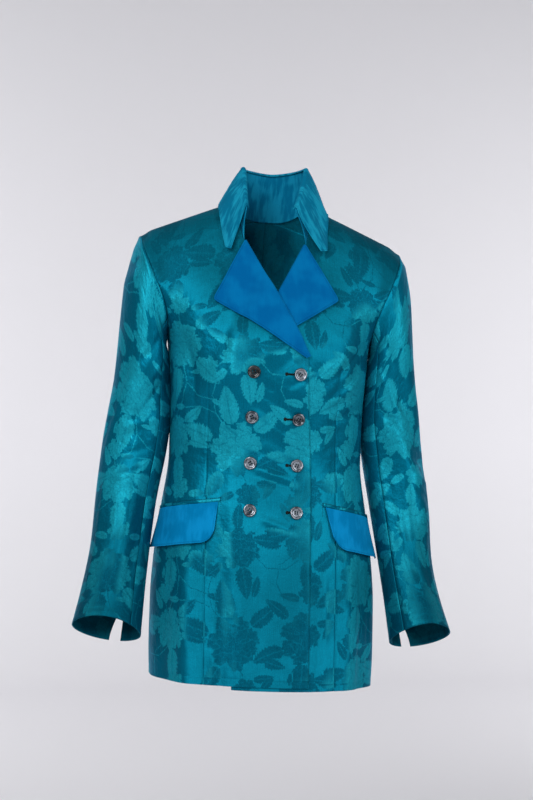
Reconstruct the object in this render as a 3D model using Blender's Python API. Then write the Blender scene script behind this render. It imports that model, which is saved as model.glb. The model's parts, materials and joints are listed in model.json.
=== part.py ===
# Double-breasted blazer in flowered satin, with a velvet collar, velvet lapels and velvet pocket flaps.
# It keeps the hollow form of a worn jacket. Units are metres, +Z is up and the front faces -Y.
# The origin is the middle of the neck opening, level with the tops of the two shoulder seams.
# Left and right are the wearer's own sides, so left is +X. The right front laps over the left one.

import math

import bmesh
import bpy
import numpy as np
from mathutils import Matrix, Vector
from mathutils.bvhtree import BVHTree

# Thicknesses and gaps, and the spacing of a front's columns beyond the overlap.
SEAM = 0.0003
CLOTH = 0.0021
VELVET = 0.0024
CLEAR = 0.0005
FRONT_SHARES = np.array([0.0, 0.115, 0.26, 0.40, 0.53, 0.66, 0.80, 0.92, 1.0])
LAP_STEPS = 9
LAP_ROOM = 0.024
# Cells whose diagonals differ by less than this share are all split the same way.
NEARLY_SQUARE = 1.12

# The body of the jacket as level rings from the hem up to the shoulder seams. Columns: height of
# the ring at the middle of the body, how far it follows the slope of the shoulders (0 to 1), half
# width, depth in front of and behind the shoulder line, squareness of the front and of the back,
# and half width at the armhole, which is the full half width up to the armpit.
LEVEL_COLUMNS = ("height", "lean", "wide", "front", "back", "front_sq", "back_sq", "armhole")
LEVELS = {
    "hem": (-0.755, 0.00, 0.1765, 0.1310, 0.1360, 2.30, 2.20, 0.1765),
    "skirt": (-0.700, 0.00, 0.1780, 0.1290, 0.1340, 2.30, 2.20, 0.1780),
    "seat": (-0.630, 0.00, 0.1775, 0.1250, 0.1290, 2.30, 2.20, 0.1775),
    "hip": (-0.565, 0.00, 0.1735, 0.1200, 0.1200, 2.30, 2.20, 0.1735),
    "pocket": (-0.490, 0.00, 0.1640, 0.1130, 0.1040, 2.30, 2.15, 0.1640),
    "waist": (-0.405, 0.00, 0.1532, 0.1040, 0.0890, 2.25, 2.10, 0.1532),
    "ribs": (-0.335, 0.00, 0.1535, 0.1125, 0.0950, 2.30, 2.10, 0.1535),
    "bust": (-0.270, 0.00, 0.1570, 0.1225, 0.1040, 2.45, 2.15, 0.1570),
    "armpit": (-0.225, 0.00, 0.1600, 0.1195, 0.1080, 2.55, 2.20, 0.1600),
    "blades": (-0.180, 0.25, 0.1705, 0.1070, 0.1090, 2.60, 2.20, 0.1640),
    "chest": (-0.135, 0.50, 0.1925, 0.0890, 0.1030, 2.60, 2.20, 0.1740),
    "collarbone": (-0.090, 0.75, 0.2400, 0.0700, 0.0880, 2.60, 2.20, 0.1870),
    "yoke": (-0.050, 0.90, 0.2900, 0.0550, 0.0700, 2.60, 2.15, 0.1980),
    "pad": (-0.025, 0.96, 0.3020, 0.0440, 0.0540, 2.50, 2.10, 0.2050),
    "crown": (-0.010, 0.985, 0.3070, 0.0310, 0.0385, 2.40, 2.10, 0.2100),
    "brow": (-0.003, 0.996, 0.3100, 0.0180, 0.0215, 2.30, 2.10, 0.2120),
    "shoulder": (0.000, 1.00, 0.3100, 0.00015, 0.00015, 2.20, 2.10, 0.2125),
}
LEVEL_NAMES = list(LEVELS)
SHOULDER_SLOPE = 0.425
SHOULDER_START = 0.0615
SHOULDER_ROUND = 0.026
NECK_HALF_WIDTH = 0.066
NECK_BACK = 0.062
NECK_SQUARENESS = 2.2

# The stance: the left shoulder is lower than the right one, and the hips stand to the right.
SHOULDER_DROP = 0.060
HIP_SWAY = 0.025

# The front edge and the lapel, in each front's own coordinates: x is positive on its own side.
OVERLAP = 0.060
EDGE_TURN = -0.44
HEM_STEP = {"left": -0.0035, "right": 0.0035}
STEP_REACH = (-0.06, 0.20)
STEP_HEIGHT = -0.60
ROLL_TOP = (0.0500, -0.0645)
ROLL_END = (-0.049, -0.2440)
LAPEL_TIP = {"left": (0.0985, -0.1530), "right": (0.0980, -0.1635)}
LAPEL_TAIL = 0.0045
LAPEL_FOLD = 0.0038
LAPEL_LIFT = 0.0016
# How far the velvet starts below the top of the roll line and ends above its foot, and how far it
# stays off the satin.
LAPEL_TRIM = (0.0035, 0.0010)
LAPEL_OFF = 0.0002
FACET_LIMIT = 0.0015
# Where the right front climbs: beyond the overlap, about the left lapel, and by height.
LAP_FADE = (0.003, 0.022)
LIFT_REACH = 0.12
LAPEL_FADE = (-0.045, -0.016)
CLIMB_HEIGHTS = (-0.150, -0.095)

# The collar: a tall stand, and a fall that turns over it and ends in two blunt points. The table
# goes round the neck from the right front end over the back to the left one. Columns: the share of
# the neck seam, then the top edge of the stand and the free edge of the fall as x, y and height,
# and how far the leaf bows towards the middle.
COLLAR_COLUMNS = ("at", "top_x", "top_y", "top_z", "free_x", "free_y", "free_z", "bow")
COLLAR_RING = {
    "right_end": (0.0000, -0.0460, -0.0565, -0.0130, -0.0711, -0.0795, -0.0810, 0.0040),
    "right_corner": (0.0625, -0.0469, -0.0451, 0.0054, -0.0792, -0.0765, -0.0790, 0.0020),
    "right_front": (0.1250, -0.0475, -0.0330, 0.0230, -0.0850, -0.0400, -0.0340, 0.0000),
    "right_shoulder": (0.2500, -0.0475, -0.0030, 0.0530, -0.0835, 0.0040, -0.0070, 0.0000),
    "right_back": (0.3750, -0.0370, 0.0310, 0.0530, -0.0610, 0.0520, -0.0080, 0.0000),
    "nape": (0.5000, 0.0030, 0.0500, 0.0510, 0.0000, 0.0760, -0.0180, 0.0000),
    "left_back": (0.6250, 0.0430, 0.0310, 0.0560, 0.0620, 0.0520, -0.0080, 0.0000),
    "left_shoulder": (0.7500, 0.0560, -0.0030, 0.0590, 0.0880, 0.0040, -0.0030, 0.0000),
    "left_front": (0.8750, 0.0460, -0.0350, 0.0250, 0.0850, -0.0400, -0.0340, 0.0000),
    "left_corner": (0.9375, 0.0393, -0.0479, 0.0071, 0.0814, -0.0755, -0.0735, -0.0040),
    "left_end": (1.0000, 0.0320, -0.0600, -0.0110, 0.0702, -0.0800, -0.0750, -0.0110),
}
STAND_BELLY = 0.0025
FALL_KNEE = (0.40, 0.0020, 0.0040)
FALL_OFF = 0.0016
PUSH_LIMIT = 0.012

# Sleeves as rings from the armhole to the cuff. Columns: the inner and the outer edge, each as
# half width and height, half depth from front to back, how far back the middle lies, and the
# slope of the ring, which is higher in front where it is above zero.
SLEEVE_COLUMNS = ("in_x", "in_z", "out_x", "out_z", "deep", "mid_y", "slope")
SLEEVE_RINGS = {
    "cap": (0.1625, -0.2370, 0.2150, -0.0670, 0.0560, 0.000, 0.00),
    "head": (0.1620, -0.2480, 0.2215, -0.0920, 0.0585, 0.001, 0.00),
    "biceps": (0.1595, -0.2680, 0.2300, -0.1350, 0.0605, 0.003, 0.00),
    "upper": (0.1572, -0.2980, 0.2355, -0.1980, 0.0600, 0.006, 0.00),
    "above_elbow": (0.1552, -0.3430, 0.2420, -0.2850, 0.0570, 0.010, 0.00),
    "elbow": (0.1610, -0.4030, 0.2575, -0.3850, 0.0530, 0.009, 0.04),
    "below_elbow": (0.1715, -0.4750, 0.2670, -0.4680, 0.0480, -0.004, 0.14),
    "forearm": (0.1820, -0.5520, 0.2740, -0.5480, 0.0430, -0.027, 0.28),
    "wrist": (0.1900, -0.6220, 0.2880, -0.6180, 0.0405, -0.052, 0.42),
    "cuff": (0.1955, -0.6820, 0.3010, -0.6680, 0.0425, -0.074, 0.47),
}
# The right cuff is a little wider and hangs a little lower than the left one. Both rise in front.
CUFF_OUT = {"left": -0.0095, "right": 0.0010}
CUFF_LIFT = {"left": 0.0035, "right": -0.0065}
CUFF_RISE = 0.0065
# The heights between which the three changes above fade in, from the cuff upwards.
OUT_FADE = (-0.62, -0.45)
LIFT_FADE = (-0.66, -0.36)
RISE_FADE = (-0.68, -0.58)
FOREARM_SEAM = 48.0
HIND_SEAM = 297.0
ARMHOLE_GAP = 0.0006
SLEEVE_EDGE = 0.00018
# At a half width of about 5 cm, one degree round a sleeve is close to this length.
DEGREE = 0.0009
FOLD_FREE_RINGS = 3.0
VENT_LENGTH = 0.085
VENT_SPREAD = 20.0

# Pockets, buttons and the rows that they stand in.
POCKET_FRONT = 0.084
POCKET_TOP = -0.468
POCKET_SLANT = 0.155
FLAP_LENGTH = 0.130
FLAP_DEPTH = 0.061
FLAP_CORNER = 0.018
FLAP_RAKE = {"left": 0.018, "right": 0.007}
FLAP_GAP = 0.0007
FLAP_FLARE = (0.0045, 0.0025)
WELT_WIDTH = 0.0055
WELT_GAP = 0.0004
WELT_LIFTS = (0.0014, 0.0024, 0.0022)
WELT_ENDS = (-0.003, 0.001)
BUTTON_ROWS = (-0.2710, -0.3400, -0.4115, -0.4840)
BUTTON_X = 0.036
BUTTON_RADIUS = 0.0100
BUTTON_DEPTH = 0.0034
BUTTON_GAP = 0.0004
BUTTON_FOOT = 0.85
HOLE_RADIUS = 0.0011
HOLE_PLACE = 0.0022

# How far a fold fades beyond its ends and within them, as shares of its length, and the strip
# beside the overlap in which one front stops following the folds of the other.
FOLD_FADE = (0.35, 0.25)
FOLD_STRIP = (0.002, 0.030)
# The largest folds of the body, as soft ridges (above zero) and troughs (below zero). Columns: the
# two ends of each fold as distance round from the front or the back middle line and height, half
# width, and how far it stands out. A fold belongs to one side of one face.
FOLD_COLUMNS = ("s0", "z0", "s1", "z1", "width", "out")
BODY_FOLDS = {
    ("front", "right"): (
        (0.016, -0.285, -0.034, -0.335, 0.014, -0.0026),
        (0.036, -0.262, -0.026, -0.316, 0.014, 0.0022),
        (0.012, -0.355, -0.034, -0.404, 0.014, -0.0024),
        (0.160, -0.225, 0.132, -0.290, 0.018, -0.0045),
        (0.176, -0.250, 0.158, -0.330, 0.018, 0.0040),
        (0.105, -0.280, 0.105, -0.480, 0.014, -0.0012),
        (0.105, -0.590, 0.105, -0.790, 0.014, -0.0014),
        (0.070, -0.600, 0.072, -0.790, 0.018, -0.0034),
        (0.132, -0.590, 0.134, -0.790, 0.022, 0.0044),
        (0.178, -0.560, 0.180, -0.790, 0.022, -0.0045),
    ),
    ("front", "left"): (
        (0.126, -0.200, 0.100, -0.262, 0.020, 0.0032),
        (0.162, -0.272, 0.114, -0.312, 0.020, 0.0036),
        (0.166, -0.222, 0.134, -0.268, 0.020, -0.0034),
        (0.146, -0.325, 0.092, -0.362, 0.020, -0.0030),
        (0.105, -0.280, 0.105, -0.480, 0.014, -0.0012),
        (0.105, -0.590, 0.105, -0.790, 0.014, -0.0014),
        (0.132, -0.590, 0.134, -0.790, 0.020, 0.0038),
        (0.158, -0.570, 0.158, -0.790, 0.022, -0.0030),
        (0.200, -0.570, 0.202, -0.790, 0.022, 0.0020),
    ),
    ("back", "right"): (
        (0.060, -0.230, 0.150, -0.300, 0.020, 0.0040),
        (0.040, -0.385, 0.150, -0.420, 0.020, 0.0040),
        (0.066, -0.560, 0.070, -0.790, 0.024, 0.0050),
        (0.120, -0.540, 0.130, -0.790, 0.024, -0.0050),
    ),
    ("back", "left"): (
        (0.070, -0.240, 0.155, -0.310, 0.020, 0.0040),
        (0.045, -0.370, 0.150, -0.400, 0.020, 0.0038),
        (0.054, -0.570, 0.058, -0.790, 0.024, 0.0045),
        (0.108, -0.550, 0.122, -0.790, 0.024, -0.0050),
    ),
}
# The folds of the sleeves. Columns: the two ends as degrees round the sleeve (0 is under the arm,
# 90 the front, 180 the outside and 270 the back) and height, half width, and how far it stands out.
SLEEVE_FOLDS = {
    "right": (
        (60, -0.250, 150, -0.330, 0.019, 0.0035),
        (50, -0.310, 130, -0.410, 0.019, -0.0040),
        (84, -0.430, 92, -0.600, 0.018, 0.0045),
        (50, -0.450, 62, -0.620, 0.018, -0.0040),
        (300, -0.330, 230, -0.400, 0.019, 0.0040),
        (310, -0.390, 240, -0.450, 0.018, -0.0035),
    ),
    "left": (
        (120, -0.200, 160, -0.330, 0.018, 0.0040),
        (96, -0.270, 150, -0.400, 0.019, -0.0045),
        (110, -0.400, 135, -0.500, 0.018, 0.0045),
        (60, -0.350, 76, -0.560, 0.018, -0.0045),
        (90, -0.470, 100, -0.650, 0.018, 0.0040),
        (295, -0.330, 235, -0.400, 0.019, 0.0040),
        (310, -0.390, 240, -0.450, 0.018, -0.0035),
    ),
}

SIDES = {"left": 1.0, "right": -1.0}
SATIN = ("satin", (0.010, 0.165, 0.225), 0.38, 0.15)
VELVET_BLUE = ("velvet", (0.004, 0.150, 0.420), 0.75, 0.0)
SHELL = ("grey_shell", (0.130, 0.120, 0.130), 0.22, 0.25)


def clear_scene():
    for thing in list(bpy.data.objects):
        bpy.data.objects.remove(thing)


def material(recipe):
    """The Principled material of a recipe: name, colour, roughness and metallic share."""
    name, colour, roughness, metallic = recipe
    found = bpy.data.materials.get(name)
    if found is None:
        found = bpy.data.materials.new(name)
        found.use_nodes = True
        shader = found.node_tree.nodes["Principled BSDF"]
        shader.inputs["Base Color"].default_value = (*colour, 1.0)
        shader.inputs["Roughness"].default_value = roughness
        shader.inputs["Metallic"].default_value = metallic
    return found


def smoothstep(low, high, value):
    share = np.clip((np.asarray(value, float) - low) / (high - low), 0.0, 1.0)
    return share * share * (3.0 - 2.0 * share)


def table_curve(rows):
    """A smooth curve through the rows of a table that never overshoots them. It is read at a row
    number, whole or not, and gives one value for each column."""
    values = np.array(rows, float)
    step = np.diff(values, axis=0)
    slope = np.zeros_like(values)
    slope[0], slope[-1] = step[0], step[-1]
    both = step[:-1] * step[1:]
    total = np.where(np.abs(step[:-1] + step[1:]) < 1e-12, 1.0, step[:-1] + step[1:])
    slope[1:-1] = np.where(both > 0, 2.0 * both / total, 0.0)

    def at(row):
        row = np.clip(np.asarray(row, float), 0.0, len(values) - 1.0)
        low = np.minimum(row.astype(int), len(values) - 2)
        u = (row - low)[..., None]
        start, end = values[low], values[low + 1]
        rise, fall = slope[low], slope[low + 1]
        return (
            start * (1 + 2 * u) * (1 - u) ** 2
            + rise * u * (1 - u) ** 2
            + end * u * u * (3 - 2 * u)
            + fall * u * u * (u - 1)
        )

    return at


LEVEL_AT = table_curve(list(LEVELS.values()))
SLEEVE_AT = table_curve(list(SLEEVE_RINGS.values()))
TOP_ROW = len(LEVELS) - 1.0
ARMPIT_ROW = float(LEVEL_NAMES.index("armpit"))
DENSE_ROWS = np.linspace(0.0, TOP_ROW, 801)


def level(row):
    """The named columns of the level table at a row number."""
    return dict(zip(LEVEL_COLUMNS, LEVEL_AT(row).T))


def row_at_height(height):
    """The row number of the level whose middle is at this height."""
    return float(np.interp(height, LEVEL_AT(DENSE_ROWS)[:, 0], DENSE_ROWS))


def ridge(x):
    """Height of the shoulder line at a distance from the middle. It is rounded at the middle."""
    reach = np.sqrt(np.asarray(x, float) ** 2 + SHOULDER_ROUND**2)
    return -SHOULDER_SLOPE * (reach - math.hypot(SHOULDER_START, SHOULDER_ROUND))


def half_ring(row, face, steps=160):
    """Points of one level ring from the middle line of a face round to the side, and the distance
    run along it. The face is front or back."""
    at = level(row)
    square = at[face + "_sq"]
    turn = np.linspace(0.0, math.pi / 2, steps)
    x = at["wide"] * np.sin(turn) ** (2.0 / square)
    y = at[face] * np.cos(turn) ** (2.0 / square) * (-1.0 if face == "front" else 1.0)
    y[-1] = 0.0
    points = np.stack([x, y, at["height"] + at["lean"] * ridge(x)], axis=1)
    run = np.concatenate([[0.0], np.cumsum(np.linalg.norm(np.diff(points, axis=0), axis=1))])
    return points, run


def on_ring(row, face, distance):
    """Points of a level ring at signed distances from the middle line of a face. Below zero lies
    across that line, and past the side the ring goes on over the other face."""
    points, run = half_ring(row, face)
    other, other_run = half_ring(row, "back" if face == "front" else "front")
    points = np.concatenate([points, other[::-1][1:]])
    run = np.concatenate([run, run[-1] + (other_run[-1] - other_run[::-1])[1:]])
    distance = np.asarray(distance, float)
    found = [np.interp(np.abs(distance), run, points[:, axis]) for axis in range(3)]
    found[0] = found[0] * np.where(distance < 0, -1.0, 1.0)
    return np.stack(found, axis=-1)


def crossing(distance, value):
    """The distance at which a value first changes sign, or the last distance."""
    change = np.nonzero(value[:-1] * value[1:] <= 0)[0]
    if len(change) == 0:
        return float(distance[-1])
    k = change[0]
    share = value[k] / (value[k] - value[k + 1]) if value[k] != value[k + 1] else 0.0
    return float(distance[k] + share * (distance[k + 1] - distance[k]))


def ring_row_through(x, height):
    """The row number of the front level that passes through a place given by x and height."""
    columns = LEVEL_AT(DENSE_ROWS)
    return float(np.interp(height, columns[:, 0] + columns[:, 1] * ridge(x), DENSE_ROWS))


def surface_depth(x, height, face="front"):
    """The y of the base surface of a face at places given by x and height."""
    columns = LEVEL_AT(DENSE_ROWS)
    depth = np.zeros(np.shape(x))
    for place in np.ndindex(np.shape(x)):
        row = np.interp(height[place], columns[:, 0] + columns[:, 1] * ridge(x[place]), DENSE_ROWS)
        at = level(row)
        share = min(abs(x[place]) / float(at["wide"]), 1.0)
        square = float(at[face + "_sq"])
        depth[place] = float(at[face]) * (1.0 - share**square) ** (1.0 / square)
    return -depth if face == "front" else depth


def surface_normals(x, height, face="front", step=0.0015):
    """Outward normals of the base surface of a face, by small differences."""
    by_x = (surface_depth(x + step, height, face) - surface_depth(x - step, height, face)) / (2 * step)
    by_z = (surface_depth(x, height + step, face) - surface_depth(x, height - step, face)) / (2 * step)
    normal = np.stack([by_x, -np.ones_like(by_x), by_z], axis=-1)
    normal = normal if face == "front" else -normal
    return normal / np.linalg.norm(normal, axis=-1, keepdims=True)


def roll_x(height):
    """Own-side x of the roll line at a height."""
    share = (height - ROLL_END[1]) / (ROLL_TOP[1] - ROLL_END[1])
    return ROLL_END[0] + share * (ROLL_TOP[0] - ROLL_END[0])


ROLL_TOP_ROW = ring_row_through(*ROLL_TOP)
ROLL_TOP_DEPTH = float(-surface_depth(np.array([ROLL_TOP[0]]), np.array([ROLL_TOP[1]]))[0])
NECK_FRONT = ROLL_TOP_DEPTH / (
    1.0 - (ROLL_TOP[0] / NECK_HALF_WIDTH) ** NECK_SQUARENESS
) ** (1.0 / NECK_SQUARENESS)


def neck_distance(row, face):
    """Distance from the middle line at which a level meets the edge of the neck opening."""
    points, run = half_ring(row, face)
    reach = NECK_FRONT if face == "front" else NECK_BACK
    value = (points[:, 0] / NECK_HALF_WIDTH) ** NECK_SQUARENESS
    value += (np.abs(points[:, 1]) / reach) ** NECK_SQUARENESS - 1.0
    return 0.0 if value[0] > 0 else crossing(run, value)


def front_edge_distance(row):
    """Where a front starts: its free edge, then the roll line, then the neck seam."""
    if row >= ROLL_TOP_ROW:
        return neck_distance(row, "front")
    height = float(level(row)["height"])
    if height <= ROLL_END[1]:
        share = smoothstep(EDGE_TURN, ROLL_END[1], height)
        return float(-OVERLAP + share * (OVERLAP + ROLL_END[0]))
    points, run = half_ring(row, "front")
    both = np.concatenate([points[::-1] * (-1, 1, 1), points[1:]])
    distance = np.concatenate([-run[::-1], run[1:]])
    return crossing(distance, both[:, 0] - roll_x(both[:, 2]))


def outer_distance(row, face):
    """Where a front or a back ends: the side seam, then the edge of the armhole."""
    points, run = half_ring(row, face)
    if row <= ARMPIT_ROW:
        return float(run[-1])
    return float(np.interp(float(level(row)["armhole"]), points[:, 0], run))


def fold_height(folds, s, z):
    """Total height of soft folds at places given by distance round and height."""
    total = np.zeros(np.broadcast(s, z).shape)
    beyond, within = FOLD_FADE
    for s0, z0, s1, z1, width, out in folds:
        along = np.array([s1 - s0, z1 - z0])
        length = float(np.linalg.norm(along))
        unit = along / length
        run = (s - s0) * unit[0] + (z - z0) * unit[1]
        off = (s - s0) * unit[1] - (z - z0) * unit[0]
        ends = smoothstep(-beyond * length, within * length, run)
        ends = ends * (1.0 - smoothstep((1.0 - within) * length, (1.0 + beyond) * length, run))
        total += out * ends * np.exp(-((off / width) ** 2))
    return total


def front_folds(side, s, z):
    """Folds of a front. Where the fronts lap, both of them follow the folds of both sides."""
    other = "left" if side == "right" else "right"
    own = fold_height(BODY_FOLDS["front", side], s, z)
    shared = fold_height(BODY_FOLDS["front", other], -s, z)
    return own + shared * (1.0 - smoothstep(OVERLAP + FOLD_STRIP[0], OVERLAP + FOLD_STRIP[1], s))


def grid_normals(points):
    """Unit normals of a grid of points, from its rows and columns."""
    down = np.gradient(points, axis=0)
    across = np.gradient(points, axis=1)
    normal = np.cross(across, down)
    return normal / np.maximum(np.linalg.norm(normal, axis=2, keepdims=True), 1e-12)


def faced(points, normals, outward):
    """The normals turned so that on the whole they agree with a rough outward direction."""
    return normals if np.sum(normals * outward) > 0 else -normals


STANCE = np.array([[1.0, 0.0, HIP_SWAY], [0.0, 1.0, 0.0], [-SHOULDER_DROP, 0.0, 1.0]])


def stand_in_pose(points):
    """Points of the upright jacket moved to the stance of the wearer."""
    return np.asarray(points, float) @ STANCE.T


def facet_depth(thing, x, height):
    """The y of an object's foremost facets at places given in the wearer's stance, or no number
    where the object isn't hit."""
    mesh = thing.data
    tree = BVHTree.FromPolygons([v.co for v in mesh.vertices], [p.vertices[:] for p in mesh.polygons])
    depth = np.full(np.shape(x), np.nan)
    for place in np.ndindex(np.shape(x)):
        hit = tree.ray_cast(Vector((x[place], -1.0, height[place])), Vector((0.0, 1.0, 0.0)))[0]
        if hit is not None and hit.y < 0:
            depth[place] = hit.y
    return depth


def wall(name, outer, inner, recipe):
    """One closed wall between two grids of points that face away from and towards the wearer."""
    rows, columns = outer.shape[:2]
    mesh = bmesh.new()
    skins = []
    for grid in (stand_in_pose(outer), stand_in_pose(inner)):
        skins.append([[mesh.verts.new(grid[i, j]) for j in range(columns)] for i in range(rows)])
    # Both skins are split along the same diagonals, so that they stay one thickness apart. Nearly
    # square cells are split the same way on every piece, so that lapped pieces stay apart too.
    for i in range(rows - 1):
        for j in range(columns - 1):
            corners = ((i, j), (i, j + 1), (i + 1, j + 1), (i + 1, j))
            one = np.linalg.norm(outer[corners[0]] - outer[corners[2]])
            two = np.linalg.norm(outer[corners[1]] - outer[corners[3]])
            if max(one, two) < NEARLY_SQUARE * min(one, two):
                first = 0 if outer[corners[1]][0] > outer[corners[0]][0] else 1
            else:
                first = 0 if one <= two else 1
            for share in ((0, 1, 2), (0, 2, 3)):
                picked = [corners[(first + k) % 4] for k in share]
                for skin, turned in zip(skins, (False, True)):
                    face = [skin[a][b] for a, b in picked]
                    mesh.faces.new(face[::-1] if turned else face)
    rim = [(0, j) for j in range(columns - 1)]
    rim += [(i, columns - 1) for i in range(rows - 1)]
    rim += [(rows - 1, j) for j in range(columns - 1, 0, -1)]
    rim += [(i, 0) for i in range(rows - 1, 0, -1)]
    for a, b in zip(rim, rim[1:] + rim[:1]):
        top_a, top_b = skins[0][a[0]][a[1]], skins[0][b[0]][b[1]]
        low_a, low_b = skins[1][a[0]][a[1]], skins[1][b[0]][b[1]]
        if a < b:
            mesh.faces.new([top_b, top_a, low_b])
            mesh.faces.new([top_a, low_a, low_b])
        else:
            mesh.faces.new([top_b, top_a, low_a])
            mesh.faces.new([top_b, low_a, low_b])
    bmesh.ops.recalc_face_normals(mesh, faces=mesh.faces)
    data = bpy.data.meshes.new(name)
    mesh.to_mesh(data)
    mesh.free()
    data.shade_smooth()
    data.set_sharp_from_angle(angle=math.radians(40))
    data.materials.append(material(recipe))
    thing = bpy.data.objects.new(name, data)
    bpy.context.scene.collection.objects.link(thing)
    return thing


def inside_lapel(x, height):
    """Signed distance inside the triangle of a lapel, in its own front's coordinates."""
    corners = [np.array(p) for p in (ROLL_TOP, LAPEL_TIP["left"], ROLL_END)]
    inside = np.full(np.broadcast(x, height).shape, 1.0)
    for a, b in zip(corners, corners[1:] + corners[:1]):
        unit = (b - a) / np.linalg.norm(b - a)
        inside = np.minimum(inside, (x - a[0]) * unit[1] - (height - a[1]) * unit[0])
    return inside


def front_rise(side, x, height):
    """How far a front's outer skin stands off the base surface, in its own coordinates. The right
    front climbs over the edge of the left one and over the left lapel."""
    if side == "left":
        return np.zeros(np.broadcast(x, height).shape)
    over_edge = 1.0 - smoothstep(OVERLAP + LAP_FADE[0], OVERLAP + LAP_FADE[1], x)
    over_lapel = smoothstep(*LAPEL_FADE, inside_lapel(-x, height))
    over_lapel = over_lapel * (1.0 - smoothstep(*CLIMB_HEIGHTS, height))
    return (CLOTH + CLEAR) * over_edge + (LAPEL_FOLD + LAPEL_LIFT + CLEAR) * over_lapel


def panel_rows(low_count, chest_count, top_count, exact, crowd):
    """Row numbers for a body panel from the hem to the shoulder seam, with rows at the foot of the
    roll line, at the armpit and at the exact row given. They crowd together just above the last."""
    low = [row_at_height(z) for z in np.linspace(LEVELS["hem"][0], ROLL_END[1], low_count)]
    chest = np.concatenate([[low[-1]], np.linspace(ARMPIT_ROW, exact, chest_count)])
    top = exact + (TOP_ROW - exact) * np.linspace(0, 1, top_count) ** crowd
    return np.concatenate([low, chest[1:], top[1:]])


def front_columns(row):
    """Distances of the columns of a front. In the overlap they are the same on both fronts."""
    start = front_edge_distance(row) + (SEAM if row > ROLL_TOP_ROW else 0.0)
    end = outer_distance(row, "front") - SEAM / 2
    knee = max(OVERLAP, start + LAP_ROOM)
    lapped = np.linspace(start, knee, LAP_STEPS)
    return np.concatenate([lapped, knee + (end - knee) * FRONT_SHARES[1:]])


def front_grid(rows):
    """Distances and base points of a front panel, in its own coordinates."""
    distance = np.array([front_columns(row) for row in rows])
    points = np.array([on_ring(row, "front", place) for row, place in zip(rows, distance)])
    return distance, points


def front_panel(side, rows):
    distance, base = front_grid(rows)
    normal = faced(base, grid_normals(base), base * (1, 1, 0))
    lifted = np.minimum(base[..., 0], LIFT_REACH)
    lifted = surface_normals(lifted, base[..., 2]) * front_rise(
        side, base[..., 0], base[..., 2])[..., None]
    drop = HEM_STEP[side] * (1.0 - smoothstep(*STEP_REACH, distance))
    drop = drop * (1.0 - smoothstep(LEVELS["hem"][0], STEP_HEIGHT, base[..., 2]))
    folds = front_folds(side, distance, base[..., 2])
    outer = base + lifted + normal * folds[..., None]
    outer[..., 2] += drop
    inner = outer - faced(outer, grid_normals(outer), base * (1, 1, 0)) * CLOTH
    for skin in (outer, inner):
        skin[..., 1] = np.minimum(skin[..., 1], -SEAM / 2)
    mirror = (SIDES[side], 1, 1)
    return wall("front_" + side, outer * mirror, inner * mirror, SATIN)


def back_panel(side, rows, columns=11):
    distance, points = [], []
    for row in rows:
        start = neck_distance(row, "back") + (SEAM if neck_distance(row, "back") > 0 else SEAM / 2)
        place = np.linspace(start, outer_distance(row, "back") - SEAM / 2, columns)
        distance.append(place)
        points.append(on_ring(row, "back", place))
    distance, base = np.array(distance), np.array(points)
    normal = faced(base, grid_normals(base), base * (1, 1, 0))
    folds = fold_height(BODY_FOLDS["back", side], distance, base[..., 2])
    outer = base + normal * folds[..., None]
    inner = outer - faced(outer, grid_normals(outer), base * (1, 1, 0)) * CLOTH
    for skin in (outer, inner):
        skin[..., 1] = np.maximum(skin[..., 1], SEAM / 2)
        skin[..., 0] = np.maximum(skin[..., 0], SEAM / 2)
    mirror = (SIDES[side], 1, 1)
    wall("back_" + side, outer * mirror, inner * mirror, SATIN)


def armhole_ring(turns, front_rows, back_rows):
    """Points on the edges of a front and a back round the armhole, at angles round it: 0 is under
    the arm, 90 the front, 180 the top of the shoulder and 270 the back."""
    edges = []
    for face, rows in (("front", front_rows), ("back", back_rows)):
        rows = rows[rows > ARMPIT_ROW - 1e-6]
        edges.append([on_ring(row, face, outer_distance(row, face)) for row in rows])
    edge = np.array(edges[0] + edges[1][::-1][1:])
    low, high = edge[0], edge[len(edges[0]) - 1]
    middle, axis = (low + high) / 2, (high - low) / np.linalg.norm(high - low)
    along = (edge - middle) @ axis / (np.linalg.norm(high - low) / 2)
    deep = (edge[:, 1] - middle[1]) / SLEEVE_RINGS["cap"][4]
    angle = np.degrees(np.unwrap(np.arctan2(-deep, -along)))
    angle[0], angle[-1] = 0.0, 360.0
    wrapped = np.mod(turns, 360.0)
    return np.stack([np.interp(wrapped, angle, edge[:, axis]) for axis in range(3)], axis=-1)


def sleeve_points(side, ring, turns):
    """Points of a sleeve ring at angles round it, in its own side's coordinates."""
    at = dict(zip(SLEEVE_COLUMNS, SLEEVE_AT(ring)))
    low = np.array([at["in_x"], at["mid_y"], at["in_z"]])
    high = np.array([at["out_x"], at["mid_y"], at["out_z"]])
    high[0] += CUFF_OUT[side] * (1.0 - smoothstep(*OUT_FADE, high[2]))
    middle, reach = (low + high) / 2, (high - low) / 2
    turn = np.radians(turns)
    points = middle - np.cos(turn)[:, None] * reach
    points[:, 1] -= at["deep"] * np.sin(turn)
    points[:, 2] += at["slope"] * at["deep"] * np.sin(turn)
    rise = CUFF_RISE * np.maximum(np.sin(turn), 0.0) ** 2 * (1.0 - smoothstep(*RISE_FADE, high[2]))
    points[:, 2] += CUFF_LIFT[side] * (1.0 - smoothstep(*LIFT_FADE, points[:, 2])) + rise
    return points


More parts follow.
